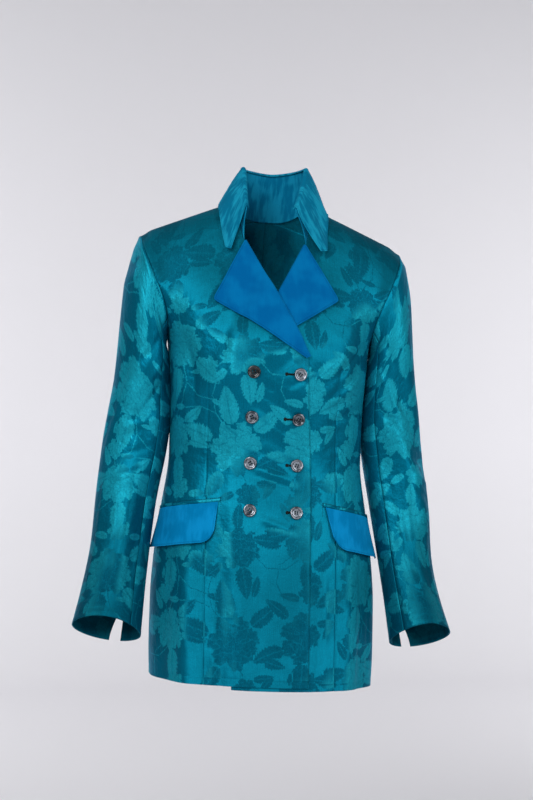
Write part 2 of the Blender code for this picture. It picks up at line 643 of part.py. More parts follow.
def sleeve_tube(side, rings, turns, front_rows, back_rows):
    """The outer and the inner skin of a whole sleeve, closed all round, and its middle line."""
    edge = armhole_ring(turns, front_rows, back_rows)
    edge = edge + ARMHOLE_GAP * np.array([1.0, 0.0, 0.15])
    base = np.array([edge] + [sleeve_points(side, ring, turns) for ring in rings])
    middle = base.mean(axis=1, keepdims=True)
    across = np.roll(base, -1, axis=1) - np.roll(base, 1, axis=1)
    normal = np.cross(across, np.gradient(base, axis=0))
    normal = faced(base, normal, base - middle)
    normal /= np.linalg.norm(normal, axis=2, keepdims=True)
    folds = [(a * DEGREE, z0, b * DEGREE, z1, w, out) for a, z0, b, z1, w, out in SLEEVE_FOLDS[side]]
    height = fold_height(folds, np.mod(turns, 360.0)[None, :] * DEGREE, base[..., 2])
    height = height * smoothstep(0.0, FOLD_FREE_RINGS, np.arange(len(base)))[:, None]
    outer = base + normal * height[..., None]
    across = np.roll(outer, -1, axis=1) - np.roll(outer, 1, axis=1)
    normal = faced(outer, np.cross(across, np.gradient(outer, axis=0)), outer - middle)
    # At the armhole the wall points at the middle of the opening, clear of the body's own edge.
    normal[0] = (outer[0] - outer[0].mean(axis=0)) * (0, 1, 1)
    normal /= np.linalg.norm(normal, axis=2, keepdims=True)
    return outer, outer - normal * CLOTH


def sleeve(side, rings, front_rows, back_rows, upper_count=15, under_count=9):
    """The upper and the under sleeve. Above the cuff the upper one is cut back along its hind seam,
    which leaves the vent open."""
    upper = np.linspace(FOREARM_SEAM, HIND_SEAM, upper_count)
    under = np.linspace(HIND_SEAM, FOREARM_SEAM + 360.0, under_count)
    turns = np.concatenate([upper, under[1:-1]])
    skins = sleeve_tube(side, rings, turns, front_rows, back_rows)
    heights = skins[0][:, upper_count - 1, 2]
    cuff = heights[-1]
    spread = VENT_SPREAD * (1.0 - smoothstep(cuff, cuff + VENT_LENGTH, heights))
    mirror = (SIDES[side], 1, 1)
    pieces = {
        "sleeve_upper_": np.arange(upper_count),
        "sleeve_under_": np.append(np.arange(upper_count - 1, len(turns)), 0),
    }
    for name, columns in pieces.items():
        grids = [skin[:, columns].copy() for skin in skins]
        for grid in grids:
            if name == "sleeve_upper_":
                whole = grid.copy()
                share = spread * (len(columns) - 1) / (HIND_SEAM - FOREARM_SEAM)
                for back in (1, 2, 3, 4):
                    moved = len(columns) - back - share * (5 - back) / 4
                    low = np.clip(moved.astype(int), 0, len(columns) - 2)
                    rows = np.arange(len(grid))
                    part = (moved - low)[:, None]
                    grid[:, -back] = whole[rows, low] * (1 - part) + whole[rows, low + 1] * part
            for column, towards in ((0, 1), (-1, -2)):
                step = grids[0][:, towards] - grids[0][:, column]
                step /= np.linalg.norm(step, axis=1, keepdims=True)
                grid[:, column] += step * SLEEVE_EDGE
        wall(name + side, grids[0] * mirror, grids[1] * mirror, SATIN)


def neck_seam(steps):
    """The seam of the collar on the left half, from the front end round to the middle of the back,
    as points an even distance apart."""
    points = []
    for row in np.linspace(ROLL_TOP_ROW, TOP_ROW, 60):
        points.append(on_ring(row, "front", neck_distance(row, "front")))
    for row in np.linspace(TOP_ROW, row_of_nape(), 80)[1:]:
        points.append(on_ring(row, "back", neck_distance(row, "back")))
    points = np.array(points)
    run = np.concatenate([[0.0], np.cumsum(np.linalg.norm(np.diff(points, axis=0), axis=1))])
    even = np.linspace(0.0, run[-1], steps)
    return np.stack([np.interp(even, run, points[:, axis]) for axis in range(3)], axis=-1)


def row_of_nape():
    """The row of the level whose back middle lies on the edge of the neck opening."""
    columns = LEVEL_AT(DENSE_ROWS)
    upper = DENSE_ROWS > ARMPIT_ROW
    return float(np.interp(-NECK_BACK, -columns[upper, 4], DENSE_ROWS[upper]))


def whole_ring(half):
    """A left half that ends on the middle line, joined to its mirror image, from the right front
    end round the back to the left front end."""
    return np.concatenate([half * (-1, 1, 1), half[::-1][1:]])


def collar_lines(steps):
    """Lines round the collar from the right front end to the left one: the seam, and the columns of
    the table by name. The last is the outward direction in plan."""
    seam = whole_ring(neck_seam(steps))
    rows = np.array(list(COLLAR_RING.values()))
    row = np.interp(np.linspace(0.0, 1.0, len(seam)), rows[:, 0], np.arange(len(rows)))
    table = table_curve(rows)(row)
    tangent = np.gradient(seam[:, :2], axis=0)
    tangent /= np.linalg.norm(tangent, axis=1, keepdims=True)
    outward = np.stack([-tangent[:, 1], tangent[:, 0], np.zeros(len(seam))], axis=1)
    if outward[len(seam) // 2, 1] < 0:
        outward = -outward
    return seam, table[:, 1:4], table[:, 4:7], table[:, 7], outward


def collar_stand(steps=17):
    seam, top, _, _, outward = collar_lines(steps)
    foot = seam - outward * SEAM + (0, 0, 0.75 * SEAM)
    belly = outward * STAND_BELLY
    outer = np.array([
        foot + (top - foot) * u + belly * math.sin(math.pi * u) for u in np.linspace(0, 1, 5)
    ])
    inner = outer - outward * VELVET
    wall("collar_stand", outer, inner, VELVET_BLUE)


def off_the_body(points, lift):
    """Points moved outwards until they stand at least this far off the fronts and the backs."""
    moved = points.copy()
    for face, sign in (("front", -1.0), ("back", 1.0)):
        mine = np.sign(points[..., 1]) == sign
        x, z = points[mine][:, 0], points[mine][:, 2]
        normal = surface_normals(np.abs(x), z, face) * np.stack(
            [np.where(x < 0, -1.0, 1.0), np.ones_like(x), np.ones_like(x)], axis=-1
        )
        depth = surface_depth(np.abs(x), z, face)
        height = (points[mine][:, 1] - depth) * normal[:, 1]
        push = np.maximum(lift - height, 0.0)
        moved[mine] = points[mine] + normal * np.minimum(push, PUSH_LIMIT)[:, None]
    return moved


def collar_fall(steps=17):
    seam, top, free, bow, outward = collar_lines(steps)
    crown = top - outward * VELVET / 2
    radius = VELVET / 2 + CLEAR + VELVET
    free = off_the_body(free, VELVET + FALL_OFF)
    profile = []
    for angle in (180, 135, 90, 45, 0):
        turn = math.radians(angle)
        profile.append(crown + outward * radius * math.cos(turn) + (0, 0, radius * math.sin(turn)))
    start = profile[-1]
    share, out, up = FALL_KNEE
    knee = start + (free - start) * share + (0, 0, up) + outward * out
    knee[:, 0] += bow
    for u in np.linspace(0, 1, 6)[1:]:
        profile.append(start * (1 - u) ** 2 + 2 * knee * u * (1 - u) + free * u * u)
    outer = np.array(profile)
    outer[5:] = off_the_body(outer[5:], VELVET + FALL_OFF)
    inner = outer - faced(outer, grid_normals(outer), outer * (1, 1, 0)) * VELVET
    for angle, k in ((180, 0), (135, 1), (90, 2), (45, 3), (0, 4)):
        turn = math.radians(angle)
        small = radius - VELVET
        inner[k] = crown + outward * small * math.cos(turn) + (0, 0, small * math.sin(turn))
    wall("collar_fall", outer, inner, VELVET_BLUE)


def on_the_front(side, front, x, z, lift):
    """Points lifted off a front's facets, or off its smooth surface beyond the front's edge."""
    base = np.stack([x, surface_depth(x, z), z], axis=-1)
    normal = surface_normals(x, z)
    smooth = base + normal * front_rise(side, x, z)[..., None]
    posed = stand_in_pose(smooth * (SIDES[side], 1, 1))
    facets = facet_depth(front, posed[..., 0], posed[..., 2])
    offset = np.where(np.isnan(facets), 0.0, facets - smooth[..., 1])
    offset = np.clip(offset, -FACET_LIMIT, FACET_LIMIT)
    smooth[..., 1] += offset
    return smooth + normal * lift[..., None]


def lapel(side, front, rows, across=7):
    """A lapel: its lip covers the folded edge of the front, and its leaf lies on the front."""
    top, tip, end = (np.array(p) for p in (ROLL_TOP, LAPEL_TIP[side], ROLL_END))
    down = (end - top) / np.linalg.norm(end - top)
    over = np.array([-down[1], down[0]])
    if over @ (tip - top) < 0:
        over = -over
    top, end = top + down * LAPEL_TRIM[0], end - down * LAPEL_TRIM[1]
    tail = end + over * LAPEL_TAIL
    heights_on_roll = []
    for row in rows[::-1]:
        if row <= ROLL_TOP_ROW + 1e-9:
            height = float(on_ring(row, "front", front_edge_distance(row))[2])
            if height >= ROLL_END[1] - 1e-6:
                heights_on_roll.append(height)
    shares = (ROLL_TOP[1] - np.array(heights_on_roll)) / (ROLL_TOP[1] - ROLL_END[1])
    reach = np.linspace(0, 1, across)[1:]
    places, heights = [], []
    turns = np.radians((180.0, 150.0, 120.0, 90.0))
    for share in shares:
        start = top + (end - top) * share
        rim = tip + (tail - tip) * share
        row, lift = [start - over * LAPEL_FOLD], [-CLOTH]
        for turn in turns:
            row.append(start + over * LAPEL_FOLD * math.cos(turn))
            lift.append(LAPEL_FOLD * math.sin(turn) + LAPEL_OFF)
        for u in reach:
            row.append(start + (rim - start) * u)
            swell = math.sin(math.pi * min(u * 1.1, 1.0) / 2) * (1.0 - share**4)
            lift.append(LAPEL_FOLD + LAPEL_OFF + LAPEL_LIFT * swell)
        places.append(row)
        heights.append(lift)
    places, lift = np.array(places), np.array(heights)
    x, z = places[..., 0], places[..., 1]
    outer = on_the_front(side, front, x, z, lift)
    thickness_lift = lift - VELVET
    inner_places = places.copy()
    for i, share in enumerate(shares):
        start = top + (end - top) * share
        small = LAPEL_FOLD - VELVET
        inner_places[i, 0] = start - over * small
        for k, turn in enumerate(turns):
            inner_places[i, 1 + k] = start + over * small * math.cos(turn)
            thickness_lift[i, 1 + k] = small * math.sin(turn) + LAPEL_OFF
        thickness_lift[i, 0] = -CLOTH
    inner = on_the_front(side, front, inner_places[..., 0], inner_places[..., 1], thickness_lift)
    mirror = (SIDES[side], 1, 1)
    wall("lapel_" + side, outer * mirror, inner * mirror, VELVET_BLUE)


def pocket_grid(side, distance, height, lift):
    """Points on a front at distances round it and heights, lifted off its outer skin."""
    points = np.empty(distance.shape + (3,))
    for place in np.ndindex(distance.shape):
        points[place] = on_ring(row_at_height(height[place]), "front", distance[place])
    normal = np.empty_like(points)
    step = 0.002
    for place in np.ndindex(distance.shape):
        row = row_at_height(height[place])
        across = on_ring(row, "front", distance[place] + step) - points[place]
        up = on_ring(row_at_height(height[place] + step), "front", distance[place]) - points[place]
        normal[place] = np.cross(across, up) / np.linalg.norm(np.cross(across, up))
    normal = faced(points, normal, points * (1, 1, 0))
    rise = front_rise(side, points[..., 0], points[..., 2])
    rise = rise + front_folds(side, distance, points[..., 2])
    return points + normal * (rise + lift)[..., None]


def pocket_line(distance):
    """Height of the pocket's top line at a distance round the front."""
    return POCKET_TOP - POCKET_SLANT * (distance - POCKET_FRONT)


def pocket_flap(side, along=13, down=6):
    lengthwise = np.linspace(0, 1, along) ** 1.25 * FLAP_LENGTH
    corner = np.clip(1.0 - lengthwise / FLAP_CORNER, 0.0, 1.0)
    short = FLAP_CORNER * (1.0 - np.sqrt(np.maximum(1.0 - corner**2, 0.0)))
    depth = FLAP_DEPTH - short
    share = np.linspace(0, 1, down)
    drop = np.outer(share, depth)
    distance = POCKET_FRONT + lengthwise + FLAP_RAKE[side] * drop / FLAP_DEPTH
    height = pocket_line(distance) - WELT_WIDTH - SEAM - drop
    away = FLAP_FLARE[0] + FLAP_FLARE[1] * (lengthwise / FLAP_LENGTH) ** 3
    lift = FLAP_GAP + VELVET + away * (drop / FLAP_DEPTH) ** 1.5
    mirror = (SIDES[side], 1, 1)
    outer = pocket_grid(side, distance, height, lift) * mirror
    inner = pocket_grid(side, distance, height, lift - VELVET) * mirror
    wall("pocket_flap_" + side, outer, inner, VELVET_BLUE)


def pocket_welt(side, along=13):
    distance = np.linspace(WELT_ENDS[0], FLAP_LENGTH + WELT_ENDS[1], along) + POCKET_FRONT
    distance = np.broadcast_to(distance, (3, along))
    drop = np.array([0.0, 0.5, 1.0])[:, None] * WELT_WIDTH
    lift = np.array(WELT_LIFTS)[:, None] + WELT_GAP + 0 * distance
    height = pocket_line(distance) - drop
    mirror = (SIDES[side], 1, 1)
    outer = pocket_grid(side, distance, height, lift) * mirror
    inner = pocket_grid(side, distance, height, WELT_GAP + 0 * distance) * mirror
    wall("pocket_welt_" + side, outer, inner, SATIN)


def button_mesh(around=16):
    """A shell button with a raised rim, a dished face and four holes. Its back lies on z = 0."""
    radius, depth = BUTTON_RADIUS, BUTTON_DEPTH
    profile = [
        (radius * 0.80, 0.0),
        (radius, depth * 0.65),
        (radius * 0.92, depth),
        (radius * 0.74, depth * 0.86),
        (radius * 0.54, depth * 0.52),
    ]
    mesh = bmesh.new()
    turns = np.radians(np.arange(around) * 360.0 / around)
    hoops = [[mesh.verts.new((r * math.cos(t), r * math.sin(t), z)) for t in turns] for r, z in profile]
    for low, high in zip(hoops, hoops[1:]):
        for k in range(around):
            mesh.faces.new([low[k - 1], low[k], high[k], high[k - 1]])
    mesh.faces.new(hoops[0])
    mesh.faces.new(hoops[-1])
    bmesh.ops.recalc_face_normals(mesh, faces=mesh.faces)
    data = bpy.data.meshes.new("button_blank")
    mesh.to_mesh(data)
    mesh.free()
    blank = bpy.data.objects.new("button_blank", data)
    bpy.context.scene.collection.objects.link(blank)

    drill = bmesh.new()
    for k in range(4):
        angle = math.pi / 4 + k * math.pi / 2
        place = Matrix.Translation((HOLE_PLACE * math.cos(angle), HOLE_PLACE * math.sin(angle), 0.0))
        bmesh.ops.create_cone(
            drill, cap_ends=True, segments=5, radius1=HOLE_RADIUS, radius2=HOLE_RADIUS,
            depth=4 * depth, matrix=place,
        )
    drill_data = bpy.data.meshes.new("button_drill")
    drill.to_mesh(drill_data)
    drill.free()
    cutter = bpy.data.objects.new("button_drill", drill_data)
    bpy.context.scene.collection.objects.link(cutter)
    cut = blank.modifiers.new("holes", "BOOLEAN")
    cut.operation, cut.object = "DIFFERENCE", cutter
    bpy.context.view_layer.update()
    drilled = bpy.data.meshes.new_from_object(blank.evaluated_get(bpy.context.evaluated_depsgraph_get()))
    drilled.name = "button"
    for thing in (blank, cutter):
        bpy.data.objects.remove(thing)
    drilled.shade_smooth()
    drilled.set_sharp_from_angle(angle=math.radians(35))
    drilled.materials.clear()
    drilled.materials.append(material(SHELL))
    return drilled


def buttons(front):
    """Both columns of buttons, on the right front and in its own coordinates. Each stands just off
    the highest place of the cloth beneath it."""
    mesh = button_mesh()
    around = np.radians(np.arange(0, 360, 24))
    for number, row_height in enumerate(BUTTON_ROWS, start=1):
        for column, own_x in (("right", BUTTON_X), ("left", -BUTTON_X)):
            reach = BUTTON_RADIUS * BUTTON_FOOT
            x = own_x + reach * np.concatenate([[0.0], 0.5 * np.cos(around), np.cos(around)])
            z = row_height + reach * np.concatenate([[0.0], 0.5 * np.sin(around), np.sin(around)])
            cloth = stand_in_pose(np.stack([-x, 0 * x, z], axis=1))
            cloth[:, 1] = facet_depth(front, cloth[:, 0], cloth[:, 2])
            facing = surface_normals(x, z)[0] * (-1, 1, 1)
            highest = float(np.max((cloth - cloth[0]) @ facing))
            foot = cloth[0] + facing * (highest + BUTTON_GAP)
            turn = Vector(facing).to_track_quat("Z", "Y").to_matrix().to_4x4()
            thing = bpy.data.objects.new(f"button_{column}_{number}", mesh)
            thing.matrix_world = Matrix.Translation(foot) @ turn
            bpy.context.scene.collection.objects.link(thing)


def build_blazer():
    clear_scene()
    rows = panel_rows(14, 8, 7, ROLL_TOP_ROW, 1.1)
    back_rows = panel_rows(12, 6, 8, row_of_nape(), 2.4)
    for side in SIDES:
        front = front_panel(side, rows)
        back_panel(side, back_rows)
        lapel(side, front, rows)
        pocket_welt(side)
        pocket_flap(side)
    rings = np.concatenate([[0.0, 0.5], np.arange(1.0, len(SLEEVE_RINGS) - 0.99, 0.5)])
    for side in SIDES:
        sleeve(side, rings, rows, back_rows)
    collar_stand()
    collar_fall()
    buttons(front)


build_blazer()
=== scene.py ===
# %% [markdown]
# # A double-breasted blazer in flowered satin and velvet
# A tailored jacket is a set of flat panels that seams and steam turn into a round form. This lesson
# builds each panel as a fine shell on the same rings that the solid model uses, gives it the weave
# of flowered satin or the pile of velvet, and then sews it with small repeated stitches.
# The jacket is hollow and keeps the form that it has when it is worn. Left and right are the
# wearer's own sides, so left is +X, and the front faces -Y. Every length is in metres.

# %% Tools and the solid model
import math

import bmesh
import bpy
import numpy as np
from mathutils import Matrix, Vector
from mathutils.bvhtree import BVHTree
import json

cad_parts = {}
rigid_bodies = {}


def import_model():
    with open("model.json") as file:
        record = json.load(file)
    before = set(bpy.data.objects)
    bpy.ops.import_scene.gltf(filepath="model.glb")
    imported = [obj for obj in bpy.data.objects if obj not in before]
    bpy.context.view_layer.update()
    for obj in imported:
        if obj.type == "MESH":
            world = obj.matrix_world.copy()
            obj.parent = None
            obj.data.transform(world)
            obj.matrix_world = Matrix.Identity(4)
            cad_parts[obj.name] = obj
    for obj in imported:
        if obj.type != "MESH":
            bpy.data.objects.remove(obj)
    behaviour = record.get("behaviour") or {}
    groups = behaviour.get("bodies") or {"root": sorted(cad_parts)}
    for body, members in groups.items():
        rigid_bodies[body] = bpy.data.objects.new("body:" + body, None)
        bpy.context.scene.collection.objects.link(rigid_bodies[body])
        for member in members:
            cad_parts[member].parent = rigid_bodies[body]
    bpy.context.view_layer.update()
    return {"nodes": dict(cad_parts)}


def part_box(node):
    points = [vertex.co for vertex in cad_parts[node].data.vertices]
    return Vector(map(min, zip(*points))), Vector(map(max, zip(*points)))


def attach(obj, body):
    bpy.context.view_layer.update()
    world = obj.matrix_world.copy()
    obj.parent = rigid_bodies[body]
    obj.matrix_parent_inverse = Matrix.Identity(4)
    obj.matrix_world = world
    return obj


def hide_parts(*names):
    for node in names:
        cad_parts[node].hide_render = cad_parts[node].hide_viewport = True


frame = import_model()
print("solid parts:", len(frame["nodes"]))

# %% [markdown]
# ## Three helpers
# Almost everything below ends as an object in the scene, and some of it is built or changed on the
# way. These functions take up what would otherwise be written again each time.

# %% Objects and finished meshes
def add_object(name, data):
    """Put a mesh, curve, lamp or camera into the scene as an object."""
    thing = bpy.data.objects.new(name, data)
    bpy.context.scene.collection.objects.link(thing)
    return thing


def plain_mesh(guide):
    """The mesh that an object's modifiers or curve settings give. The object itself is removed."""
    bpy.context.view_layer.update()
    mesh = bpy.data.meshes.new_from_object(guide.evaluated_get(bpy.context.evaluated_depsgraph_get()))
    bpy.data.objects.remove(guide)
    return mesh


def mesh_of(built, name):
    """The mesh of a bmesh, which is freed afterwards."""
    data = bpy.data.meshes.new(name)
    built.to_mesh(data)
    built.free()
    return data


# %% [markdown]
# ## The view
# The camera stands level with the middle of the jacket and a little to its right. A long lens from
# almost three metres keeps the proportions as a person across a room would see them.

# %% Camera
VIEW_TURN = -7.5
VIEW_FROM = (-0.3855, -2.8743, -0.312)
VIEW_LENS = 81.54

lens = bpy.data.cameras.new("view")
lens.lens = VIEW_LENS
lens.sensor_width = 36.0
camera = add_object("view", lens)
camera.location = VIEW_FROM
camera.rotation_euler = (math.radians(90.0), 0.0, math.radians(VIEW_TURN))
bpy.context.scene.camera = camera
print("camera lens in mm:", VIEW_LENS)

# %% [markdown]
# ## The sizes of the body
# A jacket is cut from girths: how wide and how deep it is at each height. Each row below is one
# level ring, and a smooth curve through the rows gives every ring between them. The curve never
# overshoots its rows, so a table with few rows still makes a quiet surface.

# %% Rings of the body and the sleeves
SEAM = 0.00004
WALL = {"satin": 0.0021, "velvet": 0.0024}
CLEAR = 0.0005
# Columns: height, how far the ring follows the slope of the shoulders, half width, depth in front
# and behind, squareness in front and behind, and half width at the edge of the armhole.
LEVEL_COLUMNS = ("height", "lean", "wide", "front", "back", "front_sq", "back_sq", "armhole")
LEVELS = {
    "hem": (-0.755, 0.00, 0.1765, 0.1310, 0.1360, 2.30, 2.20, 0.1765),
    "skirt": (-0.700, 0.00, 0.1780, 0.1290, 0.1340, 2.30, 2.20, 0.1780),
    "seat": (-0.630, 0.00, 0.1775, 0.1250, 0.1290, 2.30, 2.20, 0.1775),
    "hip": (-0.565, 0.00, 0.1735, 0.1200, 0.1200, 2.30, 2.20, 0.1735),
    "pocket": (-0.490, 0.00, 0.1640, 0.1130, 0.1040, 2.30, 2.15, 0.1640),
    "waist": (-0.405, 0.00, 0.1532, 0.1040, 0.0890, 2.25, 2.10, 0.1532),
    "ribs": (-0.335, 0.00, 0.1535, 0.1125, 0.0950, 2.30, 2.10, 0.1535),
    "bust": (-0.270, 0.00, 0.1570, 0.1225, 0.1040, 2.45, 2.15, 0.1570),
    "armpit": (-0.225, 0.00, 0.1600, 0.1195, 0.1080, 2.55, 2.20, 0.1600),
    "blades": (-0.180, 0.25, 0.1705, 0.1070, 0.1090, 2.60, 2.20, 0.1640),
    "chest": (-0.135, 0.50, 0.1925, 0.0890, 0.1030, 2.60, 2.20, 0.1740),
    "collarbone": (-0.090, 0.75, 0.2400, 0.0700, 0.0880, 2.60, 2.20, 0.1870),
    "yoke": (-0.050, 0.90, 0.2900, 0.0550, 0.0700, 2.60, 2.15, 0.1980),
    "pad": (-0.025, 0.96, 0.3020, 0.0440, 0.0540, 2.50, 2.10, 0.2050),
    "crown": (-0.010, 0.985, 0.3070, 0.0310, 0.0385, 2.40, 2.10, 0.2100),
    "brow": (-0.003, 0.996, 0.3100, 0.0180, 0.0215, 2.30, 2.10, 0.2120),
    "shoulder": (0.000, 1.00, 0.3100, 0.00015, 0.00015, 2.20, 2.10, 0.2125),
}
LEVEL_NAMES = list(LEVELS)
SHOULDER_SLOPE = 0.425
SHOULDER_START = 0.0615
SHOULDER_ROUND = 0.026
NECK_HALF_WIDTH = 0.066
NECK_BACK = 0.062
NECK_SQUARENESS = 2.2
SHOULDER_DROP = 0.060
HIP_SWAY = 0.025

OVERLAP = 0.060
# Below this height the edge of a front runs straight down to the hem.
EDGE_STRAIGHT = -0.44
HEM_STEP = {"left": -0.0035, "right": 0.0035}
ROLL_TOP = (0.0500, -0.0645)
ROLL_END = (-0.049, -0.2440)
LAPEL_TIP = {"left": (0.0985, -0.1530), "right": (0.0980, -0.1635)}
LAPEL_TAIL = 0.0045
LAPEL_FOLD = 0.0038
LAPEL_LIFT = 0.0016

# Columns: share of the neck seam, then the top edge of the stand and the free edge of the fall as
# x, y and height, and how far the leaf bows towards the middle.
COLLAR_RING = {
    "right_end": (0.0000, -0.0460, -0.0565, -0.0130, -0.0711, -0.0795, -0.0810, 0.0040),
    "right_corner": (0.0625, -0.0469, -0.0451, 0.0054, -0.0792, -0.0765, -0.0790, 0.0020),
    "right_front": (0.1250, -0.0475, -0.0330, 0.0230, -0.0850, -0.0400, -0.0340, 0.0000),
    "right_shoulder": (0.2500, -0.0475, -0.0030, 0.0530, -0.0835, 0.0040, -0.0070, 0.0000),
    "right_back": (0.3750, -0.0370, 0.0310, 0.0530, -0.0610, 0.0520, -0.0080, 0.0000),
    "nape": (0.5000, 0.0030, 0.0500, 0.0510, 0.0000, 0.0760, -0.0180, 0.0000),
    "left_back": (0.6250, 0.0430, 0.0310, 0.0560, 0.0620, 0.0520, -0.0080, 0.0000),
    "left_shoulder": (0.7500, 0.0560, -0.0030, 0.0590, 0.0880, 0.0040, -0.0030, 0.0000),
    "left_front": (0.8750, 0.0460, -0.0350, 0.0250, 0.0850, -0.0400, -0.0340, 0.0000),
    "left_corner": (0.9375, 0.0393, -0.0479, 0.0071, 0.0814, -0.0755, -0.0735, -0.0040),
    "left_end": (1.0000, 0.0320, -0.0600, -0.0110, 0.0702, -0.0800, -0.0750, -0.0110),
}
STAND_BELLY = 0.0025
FALL_KNEE = (0.40, 0.0020, 0.0040)
FALL_OFF = 0.0016

# Columns: the inner and the outer edge as x and height, half depth, y of the middle, and slope.
SLEEVE_COLUMNS = ("in_x", "in_z", "out_x", "out_z", "deep", "mid_y", "slope")
SLEEVE_RINGS = {
    "cap": (0.1625, -0.2370, 0.2150, -0.0670, 0.0560, 0.000, 0.00),
    "head": (0.1620, -0.2480, 0.2215, -0.0920, 0.0585, 0.001, 0.00),
    "biceps": (0.1595, -0.2680, 0.2300, -0.1350, 0.0605, 0.003, 0.00),
    "upper": (0.1572, -0.2980, 0.2355, -0.1980, 0.0600, 0.006, 0.00),
    "above_elbow": (0.1552, -0.3430, 0.2420, -0.2850, 0.0570, 0.010, 0.00),
    "elbow": (0.1610, -0.4030, 0.2575, -0.3850, 0.0530, 0.009, 0.04),
    "below_elbow": (0.1715, -0.4750, 0.2670, -0.4680, 0.0480, -0.004, 0.14),
    "forearm": (0.1820, -0.5520, 0.2740, -0.5480, 0.0430, -0.027, 0.28),
    "wrist": (0.1900, -0.6220, 0.2880, -0.6180, 0.0405, -0.052, 0.42),
    "cuff": (0.1955, -0.6820, 0.3010, -0.6680, 0.0425, -0.074, 0.47),
}
CUFF_OUT = {"left": -0.0095, "right": 0.0010}
CUFF_LIFT = {"left": 0.0035, "right": -0.0065}
CUFF_RISE = 0.0065
# Heights between which the cuff's shift outwards, its lift and its rise in front fade in.
OUT_FADE = (-0.62, -0.45)
LIFT_FADE = (-0.66, -0.36)
RISE_FADE = (-0.68, -0.58)
FOREARM_SEAM = 48.0
HIND_SEAM = 297.0
VENT_LENGTH = 0.085
VENT_SPREAD = 20.0

POCKET_FRONT = 0.084
POCKET_TOP = -0.468
POCKET_SLANT = 0.155
FLAP_LENGTH = 0.130
FLAP_DEPTH = 0.061
FLAP_CORNER = 0.018
FLAP_RAKE = {"left": 0.018, "right": 0.007}
WELT_WIDTH = 0.0055
BUTTON_ROWS = (-0.2710, -0.3400, -0.4115, -0.4840)
BUTTON_X = 0.036
BUTTON_RADIUS = 0.0100
BUTTON_DEPTH = 0.0034
SIDES = {"left": 1.0, "right": -1.0}
print("level rings:", len(LEVELS), "sleeve rings:", len(SLEEVE_RINGS))

# %% [markdown]
# ## Folds and creases
# Cloth that hangs from the shoulders folds where it has too little or too much room: at the armpit,
# across the buttons, behind the elbow and along the hem. The wide folds are part of the cut. The
# creases below them are narrow, and they come from handling. Each is one straight stroke with soft
# ends. No two have the same length or depth, because even spacing looks like a grid.

# %% Folds and creases of the body
# Each row is one stroke: its start and its end as distance round the body and height, its width,
# and how far it stands out. The creases are made this many times as deep as their tables say.
CREASE_DEPTH = 2.0
BODY_FOLDS = {
    ("front", "right"): (
        (0.016, -0.285, -0.034, -0.335, 0.014, -0.0026),
        (0.036, -0.262, -0.026, -0.316, 0.014, 0.0022),
        (0.012, -0.355, -0.034, -0.404, 0.014, -0.0024),
        (0.160, -0.225, 0.132, -0.290, 0.018, -0.0045),
        (0.176, -0.250, 0.158, -0.330, 0.018, 0.0040),
        (0.105, -0.280, 0.105, -0.480, 0.014, -0.0012),
        (0.105, -0.590, 0.105, -0.790, 0.014, -0.0014),
        (0.070, -0.600, 0.072, -0.790, 0.018, -0.0034),
        (0.132, -0.590, 0.134, -0.790, 0.022, 0.0044),
        (0.178, -0.560, 0.180, -0.790, 0.022, -0.0045),
    ),
    ("front", "left"): (
        (0.126, -0.200, 0.100, -0.262, 0.020, 0.0032),
        (0.162, -0.272, 0.114, -0.312, 0.020, 0.0036),
        (0.166, -0.222, 0.134, -0.268, 0.020, -0.0034),
        (0.146, -0.325, 0.092, -0.362, 0.020, -0.0030),
        (0.105, -0.280, 0.105, -0.480, 0.014, -0.0012),
        (0.105, -0.590, 0.105, -0.790, 0.014, -0.0014),
        (0.132, -0.590, 0.134, -0.790, 0.020, 0.0038),
        (0.158, -0.570, 0.158, -0.790, 0.022, -0.0030),
        (0.200, -0.570, 0.202, -0.790, 0.022, 0.0020),
    ),
    ("back", "right"): (
        (0.060, -0.230, 0.150, -0.300, 0.020, 0.0040),
        (0.040, -0.385, 0.150, -0.420, 0.020, 0.0040),
        (0.066, -0.560, 0.070, -0.790, 0.024, 0.0050),
        (0.120, -0.540, 0.130, -0.790, 0.024, -0.0050),
    ),
    ("back", "left"): (
        (0.070, -0.240, 0.155, -0.310, 0.020, 0.0040),
        (0.045, -0.370, 0.150, -0.400, 0.020, 0.0038),
        (0.054, -0.570, 0.058, -0.790, 0.024, 0.0045),
        (0.108, -0.550, 0.122, -0.790, 0.024, -0.0050),
    ),
}
